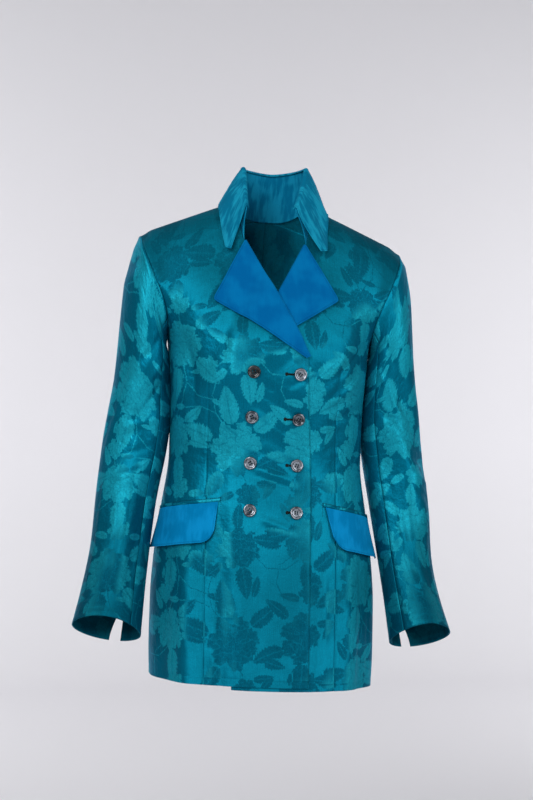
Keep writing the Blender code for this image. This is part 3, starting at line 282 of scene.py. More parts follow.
BODY_CREASES = {
    ("front", "right"): (
        (0.030, -0.276, -0.020, -0.300, 0.0040, 0.0011),
        (0.034, -0.300, -0.026, -0.330, 0.0036, -0.0012),
        (0.020, -0.348, -0.030, -0.378, 0.0042, 0.0012),
        (0.024, -0.420, -0.028, -0.436, 0.0040, 0.0012),
        (0.014, -0.498, -0.030, -0.512, 0.0046, 0.0010),
        (0.022, -0.287, -0.024, -0.306, 0.0050, -0.0012),
        (0.040, -0.300, -0.010, -0.322, 0.0045, 0.0006),
        (0.030, -0.322, -0.020, -0.352, 0.0060, -0.0007),
        (0.050, -0.345, -0.016, -0.372, 0.0050, 0.0006),
        (0.044, -0.385, -0.018, -0.412, 0.0055, -0.0007),
        (0.036, -0.430, -0.030, -0.446, 0.0050, -0.0005),
        (0.148, -0.236, 0.126, -0.318, 0.0050, -0.0010),
        (0.158, -0.262, 0.140, -0.352, 0.0045, 0.0008),
        (0.132, -0.300, 0.120, -0.386, 0.0060, -0.0007),
        (0.170, -0.390, 0.120, -0.402, 0.0050, -0.0008),
        (0.166, -0.420, 0.128, -0.428, 0.0045, 0.0006),
        (0.060, -0.520, 0.058, -0.640, 0.0060, 0.0005),
        (0.018, -0.560, 0.022, -0.735, 0.0070, -0.0006),
        (0.046, -0.610, 0.050, -0.745, 0.0050, 0.0005),
        (0.150, -0.600, 0.154, -0.740, 0.0060, -0.0007),
        (0.088, -0.640, 0.090, -0.742, 0.0050, 0.0005),
    ),
    ("front", "left"): (
        (0.100, -0.268, 0.152, -0.226, 0.0050, -0.0013),
        (0.092, -0.312, 0.146, -0.270, 0.0042, 0.0012),
        (0.100, -0.340, 0.160, -0.318, 0.0046, -0.0012),
        (0.020, -0.290, 0.066, -0.262, 0.0055, -0.0010),
        (0.074, -0.300, 0.140, -0.252, 0.0060, 0.0009),
        (0.080, -0.326, 0.150, -0.292, 0.0050, -0.0009),
        (0.084, -0.352, 0.154, -0.338, 0.0055, 0.0008),
        (0.094, -0.382, 0.158, -0.372, 0.0045, -0.0008),
        (0.110, -0.412, 0.160, -0.398, 0.0050, 0.0006),
        (0.118, -0.238, 0.100, -0.290, 0.0050, -0.0007),
        (0.064, -0.610, 0.066, -0.735, 0.0060, -0.0006),
        (0.084, -0.560, 0.086, -0.690, 0.0055, 0.0005),
        (0.148, -0.600, 0.146, -0.744, 0.0050, 0.0006),
        (0.182, -0.580, 0.184, -0.730, 0.0060, -0.0007),
    ),
    ("back", "right"): (
        (0.020, -0.120, 0.110, -0.160, 0.0080, -0.0008),
        (0.090, -0.250, 0.168, -0.330, 0.0060, -0.0010),
        (0.060, -0.340, 0.150, -0.372, 0.0055, 0.0008),
        (0.030, -0.402, 0.120, -0.428, 0.0060, -0.0009),
        (0.050, -0.450, 0.140, -0.440, 0.0050, 0.0007),
        (0.094, -0.580, 0.098, -0.740, 0.0060, 0.0007),
        (0.036, -0.600, 0.040, -0.730, 0.0070, -0.0006),
    ),
    ("back", "left"): (
        (0.024, -0.135, 0.120, -0.168, 0.0080, -0.0008),
        (0.080, -0.262, 0.166, -0.318, 0.0060, -0.0009),
        (0.070, -0.348, 0.156, -0.386, 0.0055, 0.0008),
        (0.024, -0.392, 0.110, -0.412, 0.0060, -0.0008),
        (0.060, -0.440, 0.150, -0.458, 0.0050, 0.0007),
        (0.082, -0.590, 0.088, -0.742, 0.0060, 0.0007),
        (0.030, -0.620, 0.026, -0.738, 0.0070, -0.0006),
    ),
}

# %% Folds and creases of the sleeves, by degrees round the arm
SLEEVE_FOLDS = {
    "right": (
        (60, -0.250, 150, -0.330, 0.019, 0.0035),
        (50, -0.310, 130, -0.410, 0.019, -0.0040),
        (84, -0.430, 92, -0.600, 0.018, 0.0045),
        (50, -0.450, 62, -0.620, 0.018, -0.0040),
        (300, -0.330, 230, -0.400, 0.019, 0.0040),
        (310, -0.390, 240, -0.450, 0.018, -0.0035),
        (8, -0.235, 8, -0.430, 0.028, 0.0045),
        (368, -0.235, 368, -0.430, 0.028, 0.0045),
        (165, -0.070, 150, -0.120, 0.034, -0.0046),
    ),
    "left": (
        (120, -0.200, 160, -0.330, 0.018, 0.0040),
        (96, -0.270, 150, -0.400, 0.019, -0.0045),
        (110, -0.400, 135, -0.500, 0.018, 0.0045),
        (60, -0.350, 76, -0.560, 0.018, -0.0045),
        (90, -0.470, 100, -0.650, 0.018, 0.0040),
        (295, -0.330, 235, -0.400, 0.019, 0.0040),
        (310, -0.390, 240, -0.450, 0.018, -0.0035),
        (8, -0.235, 8, -0.380, 0.028, 0.0036),
        (368, -0.235, 368, -0.380, 0.028, 0.0036),
    ),
}
SLEEVE_CREASES = {
    "right": (
        (58, -0.225, 96, -0.262, 0.0060, -0.0010),
        (52, -0.262, 104, -0.316, 0.0055, 0.0009),
        (54, -0.300, 96, -0.348, 0.0050, -0.0011),
        (60, -0.352, 122, -0.372, 0.0060, 0.0008),
        (66, -0.396, 128, -0.420, 0.0050, -0.0009),
        (70, -0.432, 118, -0.446, 0.0055, 0.0008),
        (120, -0.250, 168, -0.400, 0.0070, -0.0008),
        (96, -0.470, 104, -0.610, 0.0060, -0.0008),
        (140, -0.440, 148, -0.600, 0.0060, 0.0007),
        (250, -0.360, 200, -0.392, 0.0060, -0.0010),
        (290, -0.408, 216, -0.424, 0.0050, 0.0009),
        (286, -0.452, 226, -0.470, 0.0060, -0.0008),
    ),
    "left": (
        (70, -0.215, 112, -0.270, 0.0060, -0.0009),
        (60, -0.262, 112, -0.330, 0.0055, 0.0010),
        (62, -0.318, 116, -0.362, 0.0050, -0.0010),
        (100, -0.344, 150, -0.372, 0.0055, 0.0009),
        (118, -0.388, 164, -0.402, 0.0050, -0.0010),
        (112, -0.412, 160, -0.432, 0.0045, 0.0010),
        (116, -0.440, 158, -0.462, 0.0050, -0.0009),
        (84, -0.420, 92, -0.560, 0.0060, -0.0009),
        (134, -0.520, 140, -0.640, 0.0060, 0.0007),
        (250, -0.352, 204, -0.386, 0.0060, -0.0010),
        (288, -0.402, 220, -0.418, 0.0050, 0.0009),
        (284, -0.446, 230, -0.468, 0.0060, -0.0008),
    ),
}
print("creases of the body:", sum(len(rows) for rows in BODY_CREASES.values()))


# %% [markdown]
# ## Reading the rings
# These small functions turn the tables into points: a ring at any height, a place on a ring by the
# distance round it as a tape would measure it, and the depth of the body behind a given place.

# %% Curves through a table
def smoothstep(low, high, value):
    share = np.clip((np.asarray(value, float) - low) / (high - low), 0.0, 1.0)
    return share * share * (3.0 - 2.0 * share)


def table_curve(rows):
    """A smooth curve through the rows of a table that never overshoots them."""
    values = np.array(rows, float)
    step = np.diff(values, axis=0)
    slope = np.zeros_like(values)
    slope[0], slope[-1] = step[0], step[-1]
    both = step[:-1] * step[1:]
    total = np.where(np.abs(step[:-1] + step[1:]) < 1e-12, 1.0, step[:-1] + step[1:])
    slope[1:-1] = np.where(both > 0, 2.0 * both / total, 0.0)

    def at(row):
        row = np.clip(np.asarray(row, float), 0.0, len(values) - 1.0)
        low = np.minimum(row.astype(int), len(values) - 2)
        u = (row - low)[..., None]
        return (
            values[low] * (1 + 2 * u) * (1 - u) ** 2
            + slope[low] * u * (1 - u) ** 2
            + values[low + 1] * u * u * (3 - 2 * u)
            + slope[low + 1] * u * u * (u - 1)
        )

    return at


LEVEL_AT = table_curve(list(LEVELS.values()))
SLEEVE_AT = table_curve(list(SLEEVE_RINGS.values()))
TOP_ROW = len(LEVELS) - 1.0
ARMPIT_ROW = float(LEVEL_NAMES.index("armpit"))
DENSE_ROWS = np.linspace(0.0, TOP_ROW, 801)
DENSE_LEVELS = LEVEL_AT(DENSE_ROWS)


# %% Places on a ring
def level(row):
    return dict(zip(LEVEL_COLUMNS, LEVEL_AT(row).T))


def row_at_height(height):
    return np.interp(height, DENSE_LEVELS[:, 0], DENSE_ROWS)


def ridge(x):
    """Height of the shoulder line at a distance from the middle."""
    reach = np.sqrt(np.asarray(x, float) ** 2 + SHOULDER_ROUND**2)
    return -SHOULDER_SLOPE * (reach - math.hypot(SHOULDER_START, SHOULDER_ROUND))


def half_ring(row, face, steps=160):
    """A level ring from the middle line of a face round to the side, and the distance along it."""
    at = level(row)
    square = at[face + "_sq"]
    turn = np.linspace(0.0, math.pi / 2, steps)
    x = at["wide"] * np.sin(turn) ** (2.0 / square)
    y = at[face] * np.cos(turn) ** (2.0 / square) * (-1.0 if face == "front" else 1.0)
    y[-1] = 0.0
    points = np.stack([x, y, at["height"] + at["lean"] * ridge(x)], axis=1)
    run = np.concatenate([[0.0], np.cumsum(np.linalg.norm(np.diff(points, axis=0), axis=1))])
    return points, run


def on_ring(row, face, distance):
    """Points of a level ring at signed distances from the middle line of a face."""
    points, run = half_ring(row, face)
    other, other_run = half_ring(row, "back" if face == "front" else "front")
    points = np.concatenate([points, other[::-1][1:]])
    run = np.concatenate([run, run[-1] + (other_run[-1] - other_run[::-1])[1:]])
    distance = np.asarray(distance, float)
    found = [np.interp(np.abs(distance), run, points[:, axis]) for axis in range(3)]
    found[0] = found[0] * np.where(distance < 0, -1.0, 1.0)
    return np.stack(found, axis=-1)


def crossing(distance, value):
    """The distance at which a value first changes sign, or the last distance."""
    change = np.nonzero(value[:-1] * value[1:] <= 0)[0]
    if len(change) == 0:
        return float(distance[-1])
    k = change[0]
    share = value[k] / (value[k] - value[k + 1]) if value[k] != value[k + 1] else 0.0
    return float(distance[k] + share * (distance[k + 1] - distance[k]))


def surface_depth(x, height, face="front"):
    """The y of the base surface of a face at places given by x and height."""
    x, height = np.broadcast_arrays(np.asarray(x, float), np.asarray(height, float))
    shape, x, height = x.shape, x.ravel(), height.ravel()
    rows = np.empty(len(x))
    for part in np.array_split(np.arange(len(x)), 1 + len(x) // 4000):
        table = DENSE_LEVELS[:, 0] + DENSE_LEVELS[:, 1] * ridge(x[part])[:, None]
        above = np.clip((table < height[part, None]).sum(axis=1), 1, len(DENSE_ROWS) - 1)
        low, high = table[np.arange(len(part)), above - 1], table[np.arange(len(part)), above]
        share = np.clip((height[part] - low) / np.maximum(high - low, 1e-12), 0.0, 1.0)
        rows[part] = DENSE_ROWS[above - 1] + share * (DENSE_ROWS[above] - DENSE_ROWS[above - 1])
    at = level(rows)
    share = np.minimum(np.abs(x) / at["wide"], 1.0)
    depth = at[face] * (1.0 - share ** at[face + "_sq"]) ** (1.0 / at[face + "_sq"])
    return (-depth if face == "front" else depth).reshape(shape)


def surface_normals(x, height, face="front", step=0.0015):
    by_x = (surface_depth(x + step, height, face) - surface_depth(x - step, height, face)) / (2 * step)
    by_z = (surface_depth(x, height + step, face) - surface_depth(x, height - step, face)) / (2 * step)
    normal = np.stack([by_x, -np.ones_like(by_x), by_z], axis=-1)
    normal = normal if face == "front" else -normal
    return normal / np.linalg.norm(normal, axis=-1, keepdims=True)


# %% Edges of the panels
def ring_row_through(x, height):
    return float(np.interp(height, DENSE_LEVELS[:, 0] + DENSE_LEVELS[:, 1] * ridge(x), DENSE_ROWS))


ROLL_TOP_ROW = ring_row_through(*ROLL_TOP)
NECK_FRONT = float(-surface_depth(*ROLL_TOP)) / (
    1.0 - (ROLL_TOP[0] / NECK_HALF_WIDTH) ** NECK_SQUARENESS
) ** (1.0 / NECK_SQUARENESS)


def neck_distance(row, face):
    """Distance from the middle line at which a level meets the edge of the neck opening."""
    points, run = half_ring(row, face)
    reach = NECK_FRONT if face == "front" else NECK_BACK
    value = (points[:, 0] / NECK_HALF_WIDTH) ** NECK_SQUARENESS
    value += (np.abs(points[:, 1]) / reach) ** NECK_SQUARENESS - 1.0
    return 0.0 if value[0] > 0 else crossing(run, value)


def front_edge_distance(row):
    """Where a front starts: its free edge, then the roll line, then the neck seam."""
    if row >= ROLL_TOP_ROW:
        return neck_distance(row, "front")
    height = float(level(row)["height"])
    if height <= ROLL_END[1]:
        share = smoothstep(EDGE_STRAIGHT, ROLL_END[1], height)
        return float(-OVERLAP + share * (OVERLAP + ROLL_END[0]))
    points, run = half_ring(row, "front")
    both = np.concatenate([points[::-1] * (-1, 1, 1), points[1:]])
    distance = np.concatenate([-run[::-1], run[1:]])
    share = (both[:, 2] - ROLL_END[1]) / (ROLL_TOP[1] - ROLL_END[1])
    return crossing(distance, both[:, 0] - (ROLL_END[0] + share * (ROLL_TOP[0] - ROLL_END[0])))


def outer_distance(row, face):
    """Where a front or a back ends: the side seam, then the edge of the armhole."""
    points, run = half_ring(row, face)
    if row <= ARMPIT_ROW:
        return float(run[-1])
    return float(np.interp(float(level(row)["armhole"]), points[:, 0], run))


def row_of_nape():
    upper = DENSE_ROWS > ARMPIT_ROW
    return float(np.interp(-NECK_BACK, -DENSE_LEVELS[upper, 4], DENSE_ROWS[upper]))


print("neck opening in front of the shoulder line:", round(NECK_FRONT, 4))


# %% Folds as heights, and directions off a surface
# A stroke fades in and out over these shares of its length. The folds of one front fade out on the
# other one over this strip beyond the overlap.
STROKE_IN = (-0.35, 0.25)
STROKE_OUT = (0.75, 1.35)
FOLD_STRIP = (0.002, 0.030)


def fold_height(folds, s, z):
    """Total height of soft folds at places given by distance round and height."""
    total = np.zeros(np.broadcast(s, z).shape)
    for s0, z0, s1, z1, width, out in folds:
        along = np.array([s1 - s0, z1 - z0])
        length = float(np.linalg.norm(along))
        unit = along / length
        run = (s - s0) * unit[0] + (z - z0) * unit[1]
        off = (s - s0) * unit[1] - (z - z0) * unit[0]
        ends = smoothstep(STROKE_IN[0] * length, STROKE_IN[1] * length, run)
        ends = ends * (1.0 - smoothstep(STROKE_OUT[0] * length, STROKE_OUT[1] * length, run))
        total += out * ends * np.exp(-((off / width) ** 2))
    return total


def shared_folds(table, side, s, z):
    """Folds of a front. Where the fronts lap, both of them follow the folds of both sides."""
    other = "left" if side == "right" else "right"
    own = fold_height(table["front", side], s, z)
    shared = fold_height(table["front", other], -s, z)
    return own + shared * (1.0 - smoothstep(OVERLAP + FOLD_STRIP[0], OVERLAP + FOLD_STRIP[1], s))


def grid_normals(points, closed=False):
    """Unit normals of a grid of points. A closed grid joins its last column to its first."""
    down = np.gradient(points, axis=0)
    if closed:
        across = np.roll(points, -1, axis=1) - np.roll(points, 1, axis=1)
    else:
        across = np.gradient(points, axis=1)
    normal = np.cross(across, down)
    return normal / np.maximum(np.linalg.norm(normal, axis=2, keepdims=True), 1e-12)


def faced(normals, outward):
    return normals if np.sum(normals * outward) > 0 else -normals


STANCE = np.array([[1.0, 0.0, HIP_SWAY], [0.0, 1.0, 0.0], [-SHOULDER_DROP, 0.0, 1.0]])


def stand_in_pose(points):
    """Points of the upright jacket moved to the stance of the wearer."""
    return np.asarray(points, float) @ STANCE.T


# %% [markdown]
# ## The flowers of the satin
# The cloth is a jacquard: one colour, with roses and leaves that show only because their threads
# turn the other way and catch the light differently. A loom repeats its design, so a short table
# of motifs covers the whole jacket. Each small face of the mesh stores where it lies within its
# nearest flower or leaf. The material then draws one flower and one leaf only, and the nodes stay
# few however many motifs the cloth has.

# %% One repeat of the weave
REPEAT_WIDE = 0.216
REPEAT_TALL = 0.300
# Columns: kind (0 a leaf, 1 a rose), place, turn in degrees, length or radius, and fullness.
SPRAYS = {
    "open rose": (
        (1, 0.000, 0.000, 15, 0.0450, 1.00),
        (0, 0.032, -0.026, -38, 0.0560, 1.10),
        (0, -0.006, -0.038, -98, 0.0620, 1.05),
        (0, -0.036, -0.018, 204, 0.0520, 1.00),
        (0, 0.034, 0.028, 34, 0.0500, 1.00),
        (0, -0.030, 0.033, 142, 0.0440, 0.90),
        (1, 0.006, 0.074, 80, 0.0200, 0.80),
        (0, 0.026, 0.064, 8, 0.0300, 0.85),
        (0, -0.012, 0.062, 170, 0.0320, 0.85),
        (0, 0.062, -0.088, -20, 0.0260, 0.80),
        (0, -0.052, -0.060, 236, 0.0340, 0.80),
    ),
    "half rose": (
        (1, 0.000, 0.000, 120, 0.0360, 0.90),
        (0, 0.024, -0.020, -52, 0.0560, 1.00),
        (0, -0.024, -0.018, 214, 0.0500, 1.05),
        (0, 0.004, 0.030, 78, 0.0420, 0.90),
        (0, 0.026, 0.014, 20, 0.0400, 0.90),
        (1, -0.044, 0.038, 10, 0.0180, 0.80),
        (0, -0.034, 0.012, 156, 0.0340, 0.85),
        (0, -0.058, 0.050, 120, 0.0220, 0.80),
    ),
}
STEMS = {
    "open rose": (
        ((0.006, -0.036), (0.014, -0.062), (0.010, -0.090), (-0.006, -0.112)),
        ((0.004, 0.036), (0.002, 0.052), (0.006, 0.070)),
        ((0.014, -0.062), (0.036, -0.080), (0.060, -0.086)),
    ),
    "half rose": (
        ((0.000, -0.028), (-0.008, -0.052), (0.004, -0.078), (0.026, -0.090)),
        ((-0.020, 0.018), (-0.034, 0.026), (-0.044, 0.036)),
    ),
}
PLACES = (
    ("open rose", 0.055, 0.077, 0.0),
    ("half rose", 0.164, 0.064, 65.0),
    ("open rose", 0.158, 0.216, 200.0),
    ("half rose", 0.048, 0.229, -35.0),
)


def turned(x, y, degrees):
    c, s = math.cos(math.radians(degrees)), math.sin(math.radians(degrees))
    return x * c - y * s, x * s + y * c


MOTIFS, STALKS = [], []
for spray, at_u, at_v, spray_turn in PLACES:
    for number, (kind, x, y, turn, size, full) in enumerate(SPRAYS[spray]):
        dx, dy = turned(x, y, spray_turn)
        MOTIFS.append((kind, at_u + dx, at_v + dy, turn + spray_turn, size, full, 0.37 * number + at_u * 9))
    for line in STEMS[spray]:
        ends = [turned(x, y, spray_turn) for x, y in line]
        for (x0, y0), (x1, y1) in zip(ends, ends[1:]):
            STALKS.append((at_u + x0, at_v + y0, at_u + x1, at_v + y1))
MOTIFS, STALKS = np.array(MOTIFS), np.array(STALKS)
print("motifs in one repeat:", len(MOTIFS), "stem strokes:", len(STALKS))


# %% Where each face lies in the design
def wrapped(du, dv):
    """Steps to the nearest copy in a repeat whose every second column hangs half a repeat lower."""
    column = np.round(du / REPEAT_WIDE)
    dv = dv - np.mod(column, 2) * REPEAT_TALL / 2
    return du - column * REPEAT_WIDE, dv - np.round(dv / REPEAT_TALL) * REPEAT_TALL


def motif_fields(corners):
    """For the corners of each face, given as places on the cloth: the place within the nearest
    motif with its kind, and the signed distance to the nearest stem with seed and fullness."""
    middle = corners.mean(axis=1)
    kind, at_u, at_v, turn, size, full, seed = MOTIFS.T
    du, dv = wrapped(middle[:, 0, None] - at_u, middle[:, 1, None] - at_v)
    c, s = np.cos(np.radians(turn)), np.sin(np.radians(turn))
    p, q = (du * c + dv * s) / size, (dv * c - du * s) / size
    leaf_reach = np.hypot((p - 0.5) / 0.62, q / (0.36 * full))
    reach = np.where(kind > 0.5, np.hypot(p, q) / 1.1, leaf_reach)
    best = np.argmin(reach, axis=1)
    pick = np.arange(len(best))
    step = corners - middle[:, None, :]
    x = du[pick, best][:, None] + step[..., 0]
    y = dv[pick, best][:, None] + step[..., 1]
    c, s, size = c[best][:, None], s[best][:, None], size[best][:, None]
    shape = np.ones_like(x)
    along, across = (x * c + y * s) / size, (y * c - x * s) / size
    motif = np.stack([along, across, kind[best][:, None] * shape], axis=-1)

    x0, y0, x1, y1 = STALKS.T
    du, dv = wrapped(middle[:, 0, None] - x0, middle[:, 1, None] - y0)
    length = np.hypot(x1 - x0, y1 - y0)
    ux, uy = (x1 - x0) / length, (y1 - y0) / length
    run = np.clip(du * ux + dv * uy, 0.0, length)
    near = np.argmin(np.hypot(du - run * ux, dv - run * uy), axis=1)
    x = du[pick, near][:, None] + step[..., 0]
    y = dv[pick, near][:, None] + step[..., 1]
    ux, uy, length = ux[near][:, None], uy[near][:, None], length[near][:, None]
    run = np.clip(x * ux + y * uy, 0.0, length)
    past = np.hypot(x - run * ux, y - run * uy) - np.abs(y * ux - x * uy)
    off = (y * ux - x * uy) + np.sign(y * ux - x * uy) * np.maximum(past, 0.0)
    more = np.stack([off, seed[best][:, None] * shape, full[best][:, None] * shape], axis=-1)
    return motif, more


# %% [markdown]
# ## A panel as a thin shell
# Real panels are about a millimetre thick, with an edge that turns under. A shell gets an outer and
# an inner skin, and a rounded rim between them, so that light rolls over every edge as it does on
# pressed cloth. The shell keeps its flat measures as a UV map in metres, which the weave follows.

# %% Shells
THICK = {"satin": 0.0011, "velvet": 0.0015}
ROUNDING = {"satin": 0.18, "velvet": 0.45}


def rim_places(rows, columns):
    path = [(0, j) for j in range(columns - 1)]
    path += [(i, columns - 1) for i in range(rows - 1)]
    path += [(rows - 1, j) for j in range(columns - 1, 0, -1)]
    path += [(i, 0) for i in range(rows - 1, 0, -1)]
    return np.array(path)


# %% The pressed armhole
# An iron rounds the corner of the shoulder and fills the hollow in front of the armhole seam. The
# corner is pulled in and down, and the hollow is brought forward.
SHOULDER_CORNER = (0.2130, -0.0625)
CORNER_ROUND = 0.026
CORNER_PULL = (-0.0052, -0.0016)
# Columns: height on the front of the armhole seam, and the distance of the seam from the middle.
ARMHOLE_FRONT = (
    (-0.260, 0.160), (-0.190, 0.164), (-0.158, 0.174), (-0.129, 0.187), (-0.101, 0.198),
    (-0.082, 0.205), (-0.0625, 0.2125),
)
ARMHOLE_FILL = 0.0042
ARMHOLE_REACH = 0.013
ARMHOLE_LOW = (-0.215, -0.165)
ARMHOLE_HIGH = (-0.100, -0.070)


def soft_armhole(points):
    """Points of the upright jacket, with the sleeve head and the seam in front of it pressed smooth."""
    x, y, z = points[..., 0], points[..., 1], points[..., 2]
    away = np.hypot(x - SHOULDER_CORNER[0], z - SHOULDER_CORNER[1]) / CORNER_ROUND
    near = np.clip(1.0 - away**2, 0.0, 1.0) ** 2
    heights, seam = np.array(ARMHOLE_FRONT).T
    off = (x - np.interp(z, heights, seam)) / ARMHOLE_REACH
    fill = np.exp(-(off**2)) * smoothstep(*ARMHOLE_LOW, z)
    fill = fill * (1.0 - smoothstep(*ARMHOLE_HIGH, z)) * smoothstep(0.0, 0.020, -y)
    pulled = points + near[..., None] * (CORNER_PULL[0], 0.0, CORNER_PULL[1])
    return pulled - fill[..., None] * (0.0, ARMHOLE_FILL, 0.0)


# %% A shell from two skins
def shell(name, outer, inner, finish, u, v, side=1.0, gleam=1.0, weave=(0.0, 0.0), shade_share=None, turned=0.0):
    """A closed panel between two grids of points, with its weave and its rounded rim.

    On satin, gleam says how much the lean of the cloth counts for its painted sheen, and turned is
    added to the lean. On velvet, gleam is the state of the nap, which picks a lit copy of its colour.
    The shade grid says how much painted shade each place gets: in seams, darts, hem folds, stitched
    grooves and over the lower sleeves.
    """
    rows, columns = outer.shape[:2]
    mirror = np.array([side, 1.0, 1.0])
    if finish == "satin":
        outer, inner = soft_armhole(outer), soft_armhole(inner)
    outer, inner = stand_in_pose(outer * mirror), stand_in_pose(inner * mirror)
    thick = float(np.median(np.linalg.norm(outer - inner, axis=2)))
    path = rim_places(rows, columns)
    inside = np.clip(path, 1, (rows - 2, columns - 2))
    edge, within = outer[tuple(path.T)], outer[tuple(inside.T)]
    away = edge - within
    reach = np.linalg.norm(away, axis=1, keepdims=True)
    away = away / np.maximum(reach, 1e-9)
    pull = away * np.minimum(ROUNDING[finish] * thick, 0.45 * reach)
    middle = (edge + inner[tuple(path.T)]) / 2
    outer, inner = outer.copy(), inner.copy()
    outer[tuple(path.T)] -= pull
    inner[tuple(path.T)] -= pull
    points = np.concatenate([outer.reshape(-1, 3), inner.reshape(-1, 3), middle])

    index = np.arange(rows * columns).reshape(rows, columns)
    top = np.stack([index[:-1, :-1], index[:-1, 1:], index[1:, 1:], index[1:, :-1]], axis=-1).reshape(-1, 4)
    low = top[:, ::-1] + rows * columns
    ring = index[tuple(path.T)]
    bead = 2 * rows * columns + np.arange(len(ring))
    after, bead_after = np.roll(ring, -1), np.roll(bead, -1)
    rim_one = np.stack([after, ring, bead, bead_after], axis=-1)
    rim_two = np.stack([bead_after, bead, ring + rows * columns, after + rows * columns], axis=-1)
    faces = np.concatenate([top, low, rim_one, rim_two])
    a, b, c = points[top[:, 0]], points[top[:, 1]], points[top[:, 2]]
    if np.sum(np.cross(b - a, c - b) * (a - points[top[:, 0] + rows * columns])) < 0:
        faces = faces[:, ::-1]

    data = bpy.data.meshes.new(name)
    data.from_pydata(points.tolist(), [], faces.tolist())
    data.shade_smooth()
    data.materials.append(FINISH[finish])
    flat = np.stack([u, v], axis=-1).reshape(-1, 2)
    flat = np.concatenate([flat, flat, flat[ring]]) + weave
    corner = np.empty(len(data.loops), dtype=np.int32)
    data.loops.foreach_get("vertex_index", corner)
    data.uv_layers.new(name="cloth").data.foreach_set("uv", flat[corner].astype(np.float32).ravel())

    facing = np.zeros(len(points))
    # How far each place leans to the light, for the painted sheen of the satin: cloth that faces
    # upwards counts as lit, and cloth that faces sideways as turned away. On velvet it is the state
    # of the nap, which picks a lit copy of its colour.
    up = faced(grid_normals(outer), outer - inner)
    facing[: rows * columns] = (up[..., 2] - 0.9 * np.abs(up[..., 0]) ** 2.0 + turned).ravel()
    facing[2 * rows * columns:] = facing[ring]
    facing = facing * gleam - 0.25 * (1.0 - gleam) if finish == "satin" else facing * 0.0 + gleam
    hidden = np.zeros(len(points))
    hidden[rows * columns: 2 * rows * columns] = 1.0
    # Painted shade: how dark each place is painted in its seams, darts, hems and grooves.
    painted_shade = np.zeros(len(points))
    if shade_share is not None:
        painted_shade = np.concatenate([shade_share.ravel(), shade_share.ravel(), shade_share.ravel()[ring]])
    sheen_side_shade = np.stack([facing, hidden, painted_shade], axis=-1).astype(np.float32)
    data.attributes.new("sheen_side_shade", "FLOAT_VECTOR", "POINT").data.foreach_set("vector", sheen_side_shade.ravel())
    if finish == "satin":
        corners = flat[corner].reshape(-1, 4, 2)
        motif, more = motif_fields(corners)
        for field, values in (("motif", motif), ("motif_more", more)):
            made = data.attributes.new(field, "FLOAT_VECTOR", "CORNER")
            made.data.foreach_set("vector", values.astype(np.float32).ravel())
    data.update()
    thing = add_object(name, data)
    areas = np.empty(len(data.polygons))
    data.polygons.foreach_get("area", areas)
    print(f"{name}: {2 * len(faces)} triangles, {areas.sum() / 2 * 1e4:.0f} cm2 of cloth")
    return thing


# %% [markdown]
# ## Finishes, made of nodes
# The leaf and the rose of the satin are groups, each built once, and the small steps that several
# finishes share are functions. A group only gives numbers and colours. The shader itself stays in
# the material, where it can be read and changed.

# %% A short way to place nodes
def place(tree, kind, *feeds, **settings):
    """Add a node, set its options, and set or join its inputs in their order."""
    made = tree.nodes.new(kind)
    for key, value in settings.items():
        setattr(made, key, value)
    for socket, feed in zip(made.inputs, feeds):
        if isinstance(feed, bpy.types.NodeSocket):
            tree.links.new(feed, socket)
        elif feed is not None:
            socket.default_value = feed
    return made


def calc(tree, operation, *feeds):
    return place(tree, "ShaderNodeMath", *feeds, operation=operation).outputs[0]


def plus(tree, one, two):
    return calc(tree, "ADD", one, two)


def minus(tree, one, two):
    return calc(tree, "SUBTRACT", one, two)


def times(tree, one, two):
    return calc(tree, "MULTIPLY", one, two)


def ramp(tree, value, low, high, to_low=0.0, to_high=1.0):
    """A soft step: a value between low and high comes out between to_low and to_high."""
    made = place(tree, "ShaderNodeMapRange", value, low, high, to_low, to_high,
                 interpolation_type="SMOOTHSTEP")
    return made.outputs[0]


def blend(tree, share, one, two):
    made = tree.nodes.new("ShaderNodeMix")
    made.data_type = "RGBA"
    for socket, feed in zip((made.inputs[0], made.inputs[6], made.inputs[7]), (share, one, two)):
        if isinstance(feed, bpy.types.NodeSocket):
            tree.links.new(feed, socket)
        else:
            socket.default_value = feed
    return made.outputs[2]


def scaled(tree, colour, factor):
    return place(tree, "ShaderNodeVectorMath", colour, None, None, factor, operation="SCALE").outputs[0]


def noise(tree, where, *settings, flat=True):
    """Soft noise, set by its scale, detail and roughness. It gives a number and a colour."""
    size = "2D" if flat else "3D"
    return place(tree, "ShaderNodeTexNoise", where, None, *settings, noise_dimensions=size).outputs


def split(tree, vector):
    return place(tree, "ShaderNodeSeparateXYZ", vector).outputs


def stored(tree, name):
    """The three numbers that a shell stores under this name."""
    return split(tree, place(tree, "ShaderNodeAttribute", attribute_name=name).outputs["Vector"])


def stretched(tree, sheet, across, along):
    """Places on the cloth drawn out, so that noise at them comes out as streaks."""
    return place(tree, "ShaderNodeVectorMath", sheet, (across, along, 1.0), operation="MULTIPLY").outputs[0]


def new_finish(name):
    """A new material with its node tree and its shader."""
    made = bpy.data.materials.new(name)
    made.use_nodes = True
    return made, made.node_tree, made.node_tree.nodes["Principled BSDF"]


def new_group(name, inputs, outputs):
    tree = bpy.data.node_groups.new(name, "ShaderNodeTree")
    for label, kind, value in inputs:
        made = tree.interface.new_socket(name=label, in_out="INPUT", socket_type=kind)
        if value is not None:
            made.default_value = value
    for label, kind in outputs:
        tree.interface.new_socket(name=label, in_out="OUTPUT", socket_type=kind)
    return tree, tree.nodes.new("NodeGroupInput").outputs, tree.nodes.new("NodeGroupOutput").inputs


FLOAT = "NodeSocketFloat"


# %% [markdown]
# ### A leaf
# A rose leaf has a pointed tip, saw teeth, a middle rib and side veins that run forward. All of
# that follows from two numbers: how far a point lies along the leaf, and how far off its rib.

